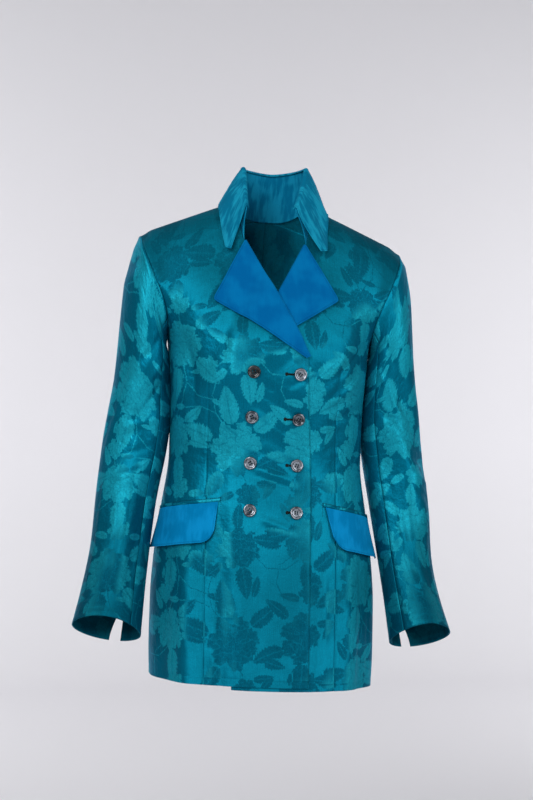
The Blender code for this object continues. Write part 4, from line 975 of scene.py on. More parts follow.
# %% The leaf group
def leaf_group():
    tree, given, out = new_group(
        "woven leaf",
        [("Along", FLOAT, 0.0), ("Across", FLOAT, 0.0), ("Fullness", FLOAT, 1.0), ("Seed", FLOAT, 0.0)],
        [("Mask", FLOAT), ("Lines", FLOAT)],
    )
    along, across, full, seed = given[0], given[1], given[2], given[3]
    curve = times(tree, calc(tree, "SINE", times(tree, seed, 7.0)), 0.16)
    bow = times(tree, minus(tree, times(tree, along, along), along), curve)
    off = calc(tree, "ABSOLUTE", plus(tree, across, bow))
    base = calc(tree, "POWER", calc(tree, "MAXIMUM", along, 0.0), 0.5)
    tip = calc(tree, "POWER", calc(tree, "MAXIMUM", minus(tree, 1.0, along), 0.0), 0.85)
    width = times(tree, times(tree, base, tip), times(tree, full, 0.60))
    teeth = calc(tree, "FRACT", minus(tree, times(tree, along, 8.0), times(tree, off, 11.0)))
    width = times(tree, width, ramp(tree, teeth, 0.0, 1.0, 1.06, 0.87))
    mask = ramp(tree, minus(tree, width, off), -0.010, 0.022)
    rib = ramp(tree, off, 0.004, 0.020, 1.0, 0.0)
    vein = minus(tree, along, times(tree, off, 0.95))
    vein = calc(tree, "FRACT", times(tree, vein, 7.0))
    vein = ramp(tree, calc(tree, "ABSOLUTE", minus(tree, vein, 0.5)), 0.37, 0.5, 0.0, 0.55)
    vein = times(tree, vein, ramp(tree, off, 0.01, 0.24, 1.0, 0.25))
    tree.links.new(mask, out[0])
    tree.links.new(calc(tree, "MAXIMUM", rib, vein), out[1])
    return tree


# %% [markdown]
# ### A rose
# An open rose is a round of lobed petals that grow smaller towards the heart. The petal edges come
# from a Voronoi pattern, whose cells shrink with the distance from the middle, and fine veins from
# stretched noise. Its own seed keeps any two roses of a repeat from looking the same.

# %% The rose group
def rose_group():
    tree, given, out = new_group(
        "woven rose",
        [("Along", FLOAT, 0.0), ("Across", FLOAT, 0.0), ("Seed", FLOAT, 0.0)],
        [("Mask", FLOAT), ("Lines", FLOAT)],
    )
    along, across, seed = given[0], given[1], given[2]
    spot = place(tree, "ShaderNodeCombineXYZ", along, across, seed).outputs[0]
    stir = minus(tree, noise(tree, spot, 2.4, 2.0, flat=False)[0], 0.5)
    angle = calc(tree, "ARCTAN2", across, along)
    square = plus(tree, times(tree, along, along), times(tree, across, across))
    radius = calc(tree, "SQRT", square)
    lobes = plus(tree, times(tree, angle, 3.5), times(tree, seed, 5.0))
    lobes = calc(tree, "ABSOLUTE", calc(tree, "SINE", lobes))
    frill = plus(tree, times(tree, angle, 11.0), times(tree, stir, 9.0))
    frill = calc(tree, "ABSOLUTE", calc(tree, "SINE", frill))
    edge = plus(tree, times(tree, lobes, 0.22), times(tree, frill, 0.09))
    edge = plus(tree, plus(tree, edge, 0.68), times(tree, stir, 0.60))
    mask = ramp(tree, minus(tree, edge, radius), -0.015, 0.030)
    squeeze = calc(tree, "POWER", calc(tree, "MAXIMUM", radius, 0.02), -0.35)
    petal_x = plus(tree, times(tree, along, squeeze), times(tree, stir, 0.7))
    petal_y = plus(tree, times(tree, across, squeeze), times(tree, stir, -0.5))
    petals = place(tree, "ShaderNodeCombineXYZ", petal_x, petal_y, seed).outputs[0]
    cells = place(tree, "ShaderNodeTexVoronoi", petals, None, 2.9, feature="DISTANCE_TO_EDGE")
    outline = ramp(tree, cells.outputs["Distance"], 0.008, 0.045, 0.85, 0.0)
    turn, reach = times(tree, angle, 3.0), times(tree, radius, 2.0)
    fan = place(tree, "ShaderNodeCombineXYZ", turn, reach, seed).outputs[0]
    veins = noise(tree, fan, 3.2, 3.0, flat=False)[0]
    veins = ramp(tree, calc(tree, "ABSOLUTE", minus(tree, veins, 0.5)), 0.006, 0.030, 0.5, 0.0)
    tree.links.new(mask, out[0])
    tree.links.new(calc(tree, "MAXIMUM", outline, veins), out[1])
    return tree


# %% [markdown]
# ### The satin
# In the ground of the cloth the long threads run up and down, and in the flowers they run across.
# So the ground shines where it leans back towards the light, and the flowers shine where it stands
# upright. That sheen is painted into the colour: the shell stored how far each place leans, and lit
# and shaded copies of the ground and the flowers change over with it, while the flowers fade and
# the colour is painted darker where the cloth leans. Seams, darts, hem folds and the lower sleeves
# get painted shade. The fine streaks are the warp, and a soft cloudiness keeps wide areas from
# looking flat and moves the painted sheen about in soft patches. Satin tints what it reflects, so
# the shader is partly metallic.

# %% The satin material
# Lit and shaded copies of the ground and of the flowers: the sheen of the satin is painted into its colour.
GROUND_SHADED = (0.0004, 0.1300, 0.2120, 1.0)
GROUND_LIT = (0.0020, 0.2300, 0.3500, 1.0)
FLOWER_LIT = (0.0090, 0.3300, 0.4400, 1.0)
FLOWER_SHADED = (0.0005, 0.0880, 0.1500, 1.0)


def satin():
    made, tree, shader = new_finish("flowered satin")
    along, across, kind = stored(tree, "motif")
    stem_off, seed, full = stored(tree, "motif_more")
    lean, hidden, painted_shade = stored(tree, "sheen_side_shade")
    sheet = place(tree, "ShaderNodeUVMap", uv_map="cloth").outputs[0]
    shaken = split(tree, noise(tree, stretched(tree, sheet, 640.0, 240.0), 1.0, 4.0, 0.7)[1])
    along = plus(tree, along, times(tree, minus(tree, shaken[0], 0.5), 0.17))
    across = plus(tree, across, times(tree, minus(tree, shaken[1], 0.5), 0.17))
    leaf = place(tree, "ShaderNodeGroup", node_tree=leaf_group())
    rose = place(tree, "ShaderNodeGroup", node_tree=rose_group())
    for feed, socket in zip((along, across, full, seed), leaf.inputs):
        tree.links.new(feed, socket)
    for feed, socket in zip((along, across, seed), rose.inputs):
        tree.links.new(feed, socket)
    is_rose = calc(tree, "GREATER_THAN", kind, 0.5)
    mask = place(tree, "ShaderNodeMix", is_rose, None, leaf.outputs[0], rose.outputs[0])
    lines = place(tree, "ShaderNodeMix", is_rose, None, leaf.outputs[1], rose.outputs[1])
    bent = plus(tree, stem_off, times(tree, minus(tree, shaken[2], 0.5), 0.006))
    stem = ramp(tree, calc(tree, "ABSOLUTE", bent), 0.0003, 0.0008, 0.8, 0.0)
    flower = times(tree, mask.outputs[0], ramp(tree, lines.outputs[0], 0.0, 1.0, 1.0, 0.40))
    flower = times(tree, flower, ramp(tree, shaken[2], 0.30, 0.62, 0.70, 1.0))
    flower = calc(tree, "MAXIMUM", flower, stem)
    flower = times(tree, flower, ramp(tree, hidden, 0.0, 1.0, 1.0, 0.35))
    # The flowers fade where the cloth leans, as part of the painted sheen.
    flower = times(tree, flower, ramp(tree, lean, 0.12, 0.45, 1.0, 0.45))

    streak = noise(tree, stretched(tree, sheet, 1500.0, 40.0), 1.0, 3.0)[0]
    grain = noise(tree, sheet, 620.0, 2.0, 0.8)[0]
    cloudy = noise(tree, sheet, 12.0, 3.0)[0]
    # The cloudiness also moves the painted sheen about in soft patches.
    sheen_drift = times(tree, minus(tree, cloudy, 0.5), 0.50)
    # Where the cloth leans to the light, the painted sheen turns the ground light and the flowers dark.
    sheen_turn = ramp(tree, plus(tree, lean, sheen_drift), -0.10, 0.16)
    ground = blend(tree, sheen_turn, GROUND_SHADED, GROUND_LIT)
    petals = blend(tree, sheen_turn, FLOWER_LIT, FLOWER_SHADED)
    colour = blend(tree, flower, ground, petals)
    shade = ramp(tree, streak, 0.2, 0.8, 0.88, 1.12)
    shade = times(tree, shade, ramp(tree, cloudy, 0.2, 0.8, 0.90, 1.10))
    # Painted shade along the seams, the darts and the hem folds, and over the lower sleeves.
    shade = times(tree, shade, ramp(tree, painted_shade, 0.0, 1.0, 1.0, 0.55))
    # Painted shade that darkens the cloth the more it leans.
    shade = times(tree, shade, ramp(tree, lean, 0.05, 0.45, 1.0, 0.44))
    shade = times(tree, shade, ramp(tree, grain, 0.25, 0.75, 0.86, 1.14))
    tree.links.new(scaled(tree, colour, shade), shader.inputs["Base Color"])
    rough = plus(tree, ramp(tree, flower, 0.0, 1.0, 0.42, 0.46), times(tree, streak, 0.06))
    rough = plus(tree, rough, times(tree, sheen_turn, 0.12))
    tree.links.new(rough, shader.inputs["Roughness"])
    tree.links.new(ramp(tree, sheen_turn, 0.0, 1.0, 0.54, 0.36), shader.inputs["Metallic"])
    crinkle = noise(tree, sheet, 55.0, 3.0)[0]
    pucker = noise(tree, sheet, 170.0, 2.0)[0]
    relief = plus(tree, times(tree, crinkle, 0.0022), times(tree, pucker, 0.0005))
    relief = plus(tree, relief, times(tree, streak, 0.00006))
    bump = place(tree, "ShaderNodeBump", 0.70, 1.0)
    tree.links.new(relief, bump.inputs["Height"])
    tree.links.new(bump.outputs[0], shader.inputs["Normal"])
    shader.inputs["Specular IOR Level"].default_value = 0.12
    shader.inputs["Specular Tint"].default_value = (0.10, 0.75, 1.0, 1.0)
    return made


# %% [markdown]
# ### The velvet
# Velvet is a pile of short upright threads. Seen along the pile it is deep in colour, and at its
# edges it glows, which the Sheen of the shader does. The pile is never quite even: broad strokes
# where a hand has brushed it run down the cloth, and fine specks are the single tufts. Each shell
# stores the state of its nap, from plain on the lapels through laid on the flaps to brushed the
# other way on the collar, and lit copies of the colour change over with it: a brighter painted
# sheen on the flaps, which face the light, and a lighter, greener painted sheen on the collar.
# The lines that the edge stitches press in get painted shade.

# %% The velvet material
PILE_DEEP = (0.0004, 0.1050, 0.3050, 1.0)
PILE_BRIGHT = (0.0010, 0.1450, 0.3700, 1.0)
# Lit copies of the velvet: painted sheen on the flaps, which face the light, and on the collar, whose pile
# lies another way.
FLAP_SHEEN_DEEP = (0.0008, 0.1800, 0.4100, 1.0)
FLAP_SHEEN_BRIGHT = (0.0030, 0.2400, 0.5300, 1.0)
COLLAR_SHEEN_DEEP = (0.0020, 0.1350, 0.2450, 1.0)
COLLAR_SHEEN_BRIGHT = (0.0080, 0.2550, 0.4000, 1.0)


def velvet():
    made, tree, shader = new_finish("blue velvet")
    sheet = place(tree, "ShaderNodeUVMap", uv_map="cloth").outputs[0]
    nap, _, painted_shade = stored(tree, "sheen_side_shade")
    patches = noise(tree, sheet, 26.0, 2.0)[0]
    strokes = noise(tree, stretched(tree, sheet, 150.0, 40.0), 1.0, 3.0)[0]
    tufts = noise(tree, sheet, 1800.0, 1.0)[0]
    stroked = times(tree, minus(tree, strokes, 0.5), ramp(tree, nap, 0.0, 1.0, 0.25, 1.0))
    brushed = ramp(tree, plus(tree, patches, stroked), 0.32, 0.70)
    plain = blend(tree, brushed, PILE_DEEP, PILE_BRIGHT)
    laid = blend(tree, brushed, FLAP_SHEEN_DEEP, FLAP_SHEEN_BRIGHT)
    worn = blend(tree, brushed, COLLAR_SHEEN_DEEP, COLLAR_SHEEN_BRIGHT)
    # The nap picks the painted sheen: plain on the lapels, lit on the flaps, lighter and greener on the
    # collar.
    colour = blend(tree, ramp(tree, nap, 0.0, 0.5), plain, laid)
    colour = blend(tree, ramp(tree, nap, 0.5, 1.0), colour, worn)
    shade = ramp(tree, tufts, 0.25, 0.75, 0.90, 1.08)
    # Painted shade in the grooves that the edge stitches press in.
    shade = times(tree, shade, ramp(tree, painted_shade, 0.0, 1.0, 1.0, 0.8))
    tree.links.new(scaled(tree, colour, shade), shader.inputs["Base Color"])
    bump = place(tree, "ShaderNodeBump", 0.5, 1.0)
    tree.links.new(times(tree, tufts, 0.00025), bump.inputs["Height"])
    tree.links.new(bump.outputs[0], shader.inputs["Normal"])
    shader.inputs["Roughness"].default_value = 0.9
    shader.inputs["Specular IOR Level"].default_value = 0.08
    shader.inputs["Specular Tint"].default_value = (0.05, 0.60, 1.0, 1.0)
    shader.inputs["Sheen Weight"].default_value = 0.30
    shader.inputs["Sheen Tint"].default_value = (0.03, 0.62, 0.95, 1.0)
    shader.inputs["Sheen Roughness"].default_value = 0.4
    return made


# %% [markdown]
# ### Shell buttons and thread
# The buttons are smoky shell with a sharp gloss. Each of their points stores its share of the
# radius, by which the outer edge and the wall inside the rim are painted dark: painted shade inside
# the rim, and on the edge a painted reflection of the dark cloth. The thread is dull and a little
# furry.

# %% The button and thread materials
def grey_shell(name, deep, pale):
    made, tree, shader = new_finish(name)
    spot = place(tree, "ShaderNodeTexCoord").outputs["Object"]
    smoke = noise(tree, spot, 70.0, 3.0, 0.5, 2.0, None, None, 1.5, flat=False)[0]
    colour = blend(tree, ramp(tree, smoke, 0.35, 0.65), deep, pale)
    share = place(tree, "ShaderNodeAttribute", attribute_name="share").outputs["Fac"]
    # Painted shade on the outer edge and on the wall inside the rim.
    off_the_wall = calc(tree, "ABSOLUTE", minus(tree, share, 0.66))
    shade = ramp(tree, share, 0.88, 0.97, 1.0, 0.12)
    shade = times(tree, shade, ramp(tree, off_the_wall, 0.02, 0.09, 0.30, 1.0))
    tree.links.new(scaled(tree, colour, shade), shader.inputs["Base Color"])
    tree.links.new(ramp(tree, smoke, 0.2, 0.8, 0.12, 0.22), shader.inputs["Roughness"])
    shader.inputs["Metallic"].default_value = 0.55
    shader.inputs["Coat Weight"].default_value = 0.6
    shader.inputs["Coat Roughness"].default_value = 0.06
    return made


def thread(name, colour):
    made, tree, shader = new_finish(name)
    spot = place(tree, "ShaderNodeTexCoord").outputs["Object"]
    fuzz = noise(tree, spot, 2500.0, 2.0, flat=False)[0]
    pale = tuple(min(1.0, part * 1.8 + 0.001) for part in colour[:3]) + (1.0,)
    tree.links.new(blend(tree, ramp(tree, fuzz, 0.35, 0.75), colour, pale), shader.inputs["Base Color"])
    shader.inputs["Roughness"].default_value = 0.8
    shader.inputs["Specular IOR Level"].default_value = 0.2
    return made


FINISH = {
    "satin": satin(),
    "velvet": velvet(),
    "shell": grey_shell("smoky shell", (0.050, 0.060, 0.078, 1.0), (0.330, 0.370, 0.430, 1.0)),
    "dark shell": grey_shell("dark shell", (0.012, 0.015, 0.018, 1.0), (0.045, 0.052, 0.060, 1.0)),
    "buttonhole thread": thread("buttonhole thread", (0.003, 0.007, 0.006, 1.0)),
    "teal thread": thread("teal thread", (0.001, 0.028, 0.040, 1.0)),
    "blue thread": thread("blue thread", (0.001, 0.060, 0.180, 1.0)),
}
print("finishes:", ", ".join(FINISH))


# %% [markdown]
# ## The fronts
# The right front laps over the left one and carries every button. Both grids have more columns
# where the dart runs, so that the sewn line can sink in sharply, while the folds beside it stay
# soft. At the seams the cloth is pulled down a little by the thread, which the valleys show, and
# painted shade darkens the seams, the dart and the hem fold. Under each button the cloth is
# pressed back, so that the button rests on it and doesn't sink in.

# %% The front panels
DART = 0.105
DART_WIDTH = 0.0013
DART_TOP = (-0.31, -0.272)
DART_SINK = 0.00075
DART_STEPS = np.array([-0.0042, -0.0026, -0.0014, -0.0006, 0.0, 0.0006, 0.0014, 0.0026, 0.0042])
SEAM_SINK = 0.0007
HEM_FOLD = 0.012
HEM_LINE = 0.0016
HEM_SINK = 0.00022
# Where the right front climbs: beyond the overlap, about the left lapel, and by height.
LAP_FADE = (0.003, 0.022)
LAPEL_NEAR = (-0.045, -0.016)
LAPEL_HIGH = (-0.150, -0.095)
# About a button, in shares of its radius, and the gap beneath it and the most it presses.
SEAT_FADE = (1.05, 1.9)
SEAT_GAP = 0.0003
SEAT_PUSH = 0.004


def panel_rows(low_count, chest_count, top_count, exact, crowd):
    low = row_at_height(np.linspace(LEVELS["hem"][0], ROLL_END[1], low_count))
    hem = row_at_height(LEVELS["hem"][0] + np.array([0.0006, 0.0014, 0.0100, 0.0114, 0.0128]))
    low = np.sort(np.concatenate([low, hem]))
    chest = [np.linspace(low[-1], ARMPIT_ROW, 6), np.linspace(ARMPIT_ROW, exact, chest_count)[1:]]
    chest = np.concatenate(chest)
    top = exact + (TOP_ROW - exact) * np.linspace(0, 1, top_count) ** crowd
    return np.concatenate([low, chest[1:], top[1:]])


def front_columns(row):
    start = front_edge_distance(row) + (SEAM if row > ROLL_TOP_ROW else 0.0)
    end = outer_distance(row, "front") - SEAM / 2
    knee = max(OVERLAP, start + 0.024)
    first = DART + DART_STEPS[0]
    return np.concatenate([
        np.linspace(start, knee, 34),
        np.linspace(knee, first, 14)[1:-1],
        DART + DART_STEPS,
        np.linspace(DART + DART_STEPS[-1], end, 34)[1:],
    ])


def inside_lapel(x, height):
    """Signed distance inside the triangle of the left lapel, in its own front's coordinates."""
    corners = [np.array(p) for p in (ROLL_TOP, LAPEL_TIP["left"], ROLL_END)]
    inside = np.full(np.broadcast(x, height).shape, 1.0)
    for a, b in zip(corners, corners[1:] + corners[:1]):
        unit = (b - a) / np.linalg.norm(b - a)
        inside = np.minimum(inside, (x - a[0]) * unit[1] - (height - a[1]) * unit[0])
    return inside


def front_rise(side, x, height):
    """How far a front stands off the base surface. The right one climbs over the left one."""
    if side == "left":
        return np.zeros(np.broadcast(x, height).shape)
    over_edge = 1.0 - smoothstep(OVERLAP + LAP_FADE[0], OVERLAP + LAP_FADE[1], x)
    over_lapel = smoothstep(*LAPEL_NEAR, inside_lapel(-x, height))
    over_lapel = over_lapel * (1.0 - smoothstep(*LAPEL_HIGH, height))
    rise = (WALL["satin"] + CLEAR) * over_edge
    return rise + (LAPEL_FOLD + LAPEL_LIFT + CLEAR) * over_lapel


def run_along(points, axis):
    """Average distance run along a grid, from its first row or column."""
    step = np.linalg.norm(np.diff(points, axis=axis), axis=2).mean(axis=1 - axis)
    return np.concatenate([[0.0], np.cumsum(step)])


def seam_valley(distance, width=0.0035):
    return np.exp(-((distance / width) ** 2))


def hem_line(height):
    """The line that pressing leaves where the hem is turned up, by height above the edge."""
    return np.exp(-(((height - HEM_FOLD) / HEM_LINE) ** 2))


def button_seat(column, number):
    """The place and direction of a button's back, from the solid button's box."""
    low, high = (np.array(corner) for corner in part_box(f"button_{column}_{number}"))
    own_x = BUTTON_X if column == "right" else -BUTTON_X
    facing = surface_normals(np.array([own_x]), np.array([BUTTON_ROWS[number - 1]]))[0] * (-1, 1, 1)
    return (low + high) / 2 - facing * BUTTON_DEPTH / 2, facing


BUTTON_NAMES = [(column, number) for column in ("right", "left") for number in range(1, len(BUTTON_ROWS) + 1)]


def under_buttons(points):
    """Points of the right front, pressed back where a button would otherwise sink into them."""
    for name in BUTTON_NAMES:
        foot, facing = button_seat(*name)
        foot, facing = (foot @ np.linalg.inv(STANCE.T)) * (-1, 1, 1), facing * (-1, 1, 1)
        off = points - foot
        height = off @ facing
        flat = np.linalg.norm(off - height[..., None] * facing, axis=-1)
        share = 1.0 - smoothstep(SEAT_FADE[0] * BUTTON_RADIUS, SEAT_FADE[1] * BUTTON_RADIUS, flat)
        push = np.clip(height + SEAT_GAP, 0.0, SEAT_PUSH) * share
        points = points - push[..., None] * facing
    return points


PANELS = {}


def front_panel(side, rows):
    distance = np.array([front_columns(row) for row in rows])
    base = np.array([on_ring(row, "front", place) for row, place in zip(rows, distance)])
    normal = faced(grid_normals(base), base * (1, 1, 0))
    x, z = np.minimum(base[..., 0], 0.12), base[..., 2]
    lifted = surface_normals(x, z) * front_rise(side, base[..., 0], z)[..., None]
    drop = HEM_STEP[side] * (1.0 - smoothstep(-0.06, 0.20, distance))
    drop = drop * (1.0 - smoothstep(LEVELS["hem"][0], -0.60, z))
    height = run_along(base, 0)[:, None] + 0 * distance
    folds = shared_folds(BODY_FOLDS, side, distance, z)
    folds = folds + CREASE_DEPTH * shared_folds(BODY_CREASES, side, distance, z)
    edge = distance[:, -1:] - distance
    dart = seam_valley(distance - DART, DART_WIDTH) * (1.0 - smoothstep(*DART_TOP, z))
    shoulder = seam_valley(height[-1:] - height)
    hem = hem_line(height)
    free = distance - distance[:, :1]
    lip = seam_valley(free, 0.0030) * (1.0 - smoothstep(ROLL_END[1] - 0.02, ROLL_END[1], z))
    # The armhole seam is pressed flatter than the side seam below it.
    sewn = SEAM_SINK - 0.0005 * smoothstep(-0.26, -0.20, z)
    folds = folds - sewn * seam_valley(edge) - SEAM_SINK * shoulder
    folds = folds - DART_SINK * dart - HEM_SINK * hem
    outer = base + lifted + normal * (folds - 0.0003 * lip)[..., None]
    outer[..., 2] += drop
    if side == "right":
        outer = under_buttons(outer)
    inner = outer - faced(grid_normals(outer), base * (1, 1, 0)) * THICK["satin"]
    for skin in (outer, inner):
        skin[..., 1] = np.minimum(skin[..., 1], -SEAM / 2)
    # Painted shade along the dart, the outer seam, the shoulder seam and the hem fold.
    shade_share = 0.5 * dart + 1000 * sewn * seam_valley(edge, 0.002)
    shade_share = np.clip(shade_share + 0.7 * seam_valley(height[-1:] - height, 0.002) + 0.35 * hem, 0, 1)
    PANELS[side] = {"distance": distance, "height": LEVEL_AT(rows)[:, 0], "outer": outer}
    weave = {"left": (0.118, 0.060), "right": (0.0, 0.0)}[side]
    # The skirt and the cloth beside the armhole count as leaning further, which shifts their painted sheen.
    skirt = 1.0 - smoothstep(-0.600, -0.490, z)
    armhole = seam_valley(edge, 0.030) * smoothstep(-0.24, -0.19, z)
    return shell("satin_front_" + side, outer, inner, "satin", SIDES[side] * distance, height,
                 side=SIDES[side], weave=weave, shade_share=0.5 * shade_share, turned=0.17 * skirt + 0.25 * armhole)


front_rows = panel_rows(112, 42, 40, ROLL_TOP_ROW, 1.1)
FRONTS = {side: front_panel(side, front_rows) for side in SIDES}


# %% [markdown]
# ## The back
# Two panels meet in a seam down the middle of the back, which is shaped to hollow at the waist. The
# photograph doesn't show them, so they are plain, with the drag lines that a fitted waist brings.

# %% The back panels
def back_panel(side, rows, columns=76):
    distance, points = [], []
    for row in rows:
        neck = neck_distance(row, "back")
        start = neck + (SEAM if neck > 0 else 0.0)
        share = np.concatenate([[0.0, 0.004, 0.010], np.linspace(0.018, 1.0, columns)])
        run = start + (outer_distance(row, "back") - SEAM / 2 - start) * share
        distance.append(run)
        points.append(on_ring(row, "back", run))
    distance, base = np.array(distance), np.array(points)
    normal = faced(grid_normals(base), base * (1, 1, 0))
    z = base[..., 2]
    height = run_along(base, 0)[:, None] + 0 * distance
    edge, middle = distance[:, -1:] - distance, distance - distance[:, :1]
    hem = hem_line(height)
    folds = fold_height(BODY_FOLDS["back", side], distance, z)
    folds += CREASE_DEPTH * fold_height(BODY_CREASES["back", side], distance, z)
    folds -= SEAM_SINK * (seam_valley(edge) + seam_valley(middle) + seam_valley(height[-1:] - height))
    outer = base + normal * (folds - HEM_SINK * hem)[..., None]
    inner = outer - faced(grid_normals(outer), base * (1, 1, 0)) * THICK["satin"]
    for skin in (outer, inner):
        skin[..., 1] = np.maximum(skin[..., 1], SEAM / 2)
        skin[..., 0] = np.maximum(skin[..., 0], 0.0)
        # The two panels reach just past the middle, so that no light comes through their seam.
        skin[:, 0, 0] -= SEAM * (skin[:, 0, 0] < 0.001)
    # Painted shade along the outer seam, the middle seam, the shoulder and the hem fold.
    shade_share = 0.7 * seam_valley(edge, 0.002) + 0.8 * seam_valley(middle, 0.0015)
    shade_share = np.clip(shade_share + 0.7 * seam_valley(height[-1:] - height, 0.002) + 0.35 * hem, 0, 1)
    return shell("satin_back_" + side, outer, inner, "satin", -SIDES[side] * distance, height,
                 side=SIDES[side], weave=(0.045, 0.21), shade_share=0.5 * shade_share)


back_rows = panel_rows(100, 40, 40, row_of_nape(), 2.4)
BACKS = {side: back_panel(side, back_rows) for side in SIDES}


# %% [markdown]
# ## The sleeves
# A tailored sleeve has an upper and an under panel, so that it can bend forward with the arm. It
# starts as the edge of the armhole itself, and rings of its own carry it down to the cuff. The
# creases run round the inside of the elbow and spread from the armpit.

# %% The sleeve panels
def armhole_ring(turns):
    """Points round the armhole: 0 is under the arm, 90 the front and 180 the top."""
    edges = []
    for face, rows in (("front", front_rows), ("back", back_rows)):
        rows = rows[rows > ARMPIT_ROW - 1e-6]
        edges.append([on_ring(row, face, outer_distance(row, face)) for row in rows])
    edge = np.array(edges[0] + edges[1][::-1][1:])
    low, high = edge[0], edge[len(edges[0]) - 1]
    middle, axis = (low + high) / 2, (high - low) / np.linalg.norm(high - low)
    along = (edge - middle) @ axis / (np.linalg.norm(high - low) / 2)
    deep = (edge[:, 1] - middle[1]) / SLEEVE_RINGS["cap"][4]
    angle = np.degrees(np.unwrap(np.arctan2(-deep, -along)))
    angle[0], angle[-1] = 0.0, 360.0
    wrapped_turns = np.mod(turns, 360.0)
    return np.stack([np.interp(wrapped_turns, angle, edge[:, axis]) for axis in range(3)], axis=-1)


def sleeve_points(side, ring, turns):
    at = dict(zip(SLEEVE_COLUMNS, SLEEVE_AT(ring)))
    low = np.array([at["in_x"], at["mid_y"], at["in_z"]])
    high = np.array([at["out_x"], at["mid_y"], at["out_z"]])
    high[0] += CUFF_OUT[side] * (1.0 - smoothstep(*OUT_FADE, high[2]))
    middle, reach = (low + high) / 2, (high - low) / 2
    turn = np.radians(turns)
    points = middle - np.cos(turn)[:, None] * reach
    points[:, 1] -= at["deep"] * np.sin(turn)
    points[:, 2] += at["slope"] * at["deep"] * np.sin(turn)
    rise = CUFF_RISE * np.maximum(np.sin(turn), 0.0) ** 2 * (1.0 - smoothstep(*RISE_FADE, high[2]))
    points[:, 2] += CUFF_LIFT[side] * (1.0 - smoothstep(*LIFT_FADE, points[:, 2])) + rise
    return points


# Length of one degree round the sleeve, and how many degrees of the upper panel give way to the vent.
DEGREE = 0.0009
VENT_FADE = 71.14
SLEEVE_SINK = 0.0006
HEAD_RISE = 0.0007


def sleeve_folds(side, turns, base, order, height, hem):
    """How far a sleeve stands out by its folds and creases, its seams, its head and its hem."""
    where = np.mod(turns, 360.0)[None, :] * DEGREE
    folds = 0.0
    for table, depth in ((SLEEVE_FOLDS, 1.0), (SLEEVE_CREASES, CREASE_DEPTH)):
        rows = [(a * DEGREE, z0, b * DEGREE, z1, w, out * depth) for a, z0, b, z1, w, out in table[side]]
        folds = folds + fold_height(rows, where, base[..., 2])
    folds = folds * smoothstep(0.0, 3.0, order)[:, None]
    for seam in (FOREARM_SEAM, HIND_SEAM):
        off = np.abs(np.mod(turns - seam + 180.0, 360.0) - 180.0) * DEGREE
        folds = folds - SLEEVE_SINK * seam_valley(off)[None, :]
    # The head of the sleeve stands up a little over its seam, where the seam is turned inwards.
    head = seam_valley(-height - 0.007, 0.006)[:, None] * smoothstep(70.0, 120.0, where / DEGREE)
    head = head * (1.0 - smoothstep(250.0, 300.0, where / DEGREE))
    return folds + HEAD_RISE * head - 0.0002 * seam_valley(height, 0.0030)[:, None] - HEM_SINK * hem


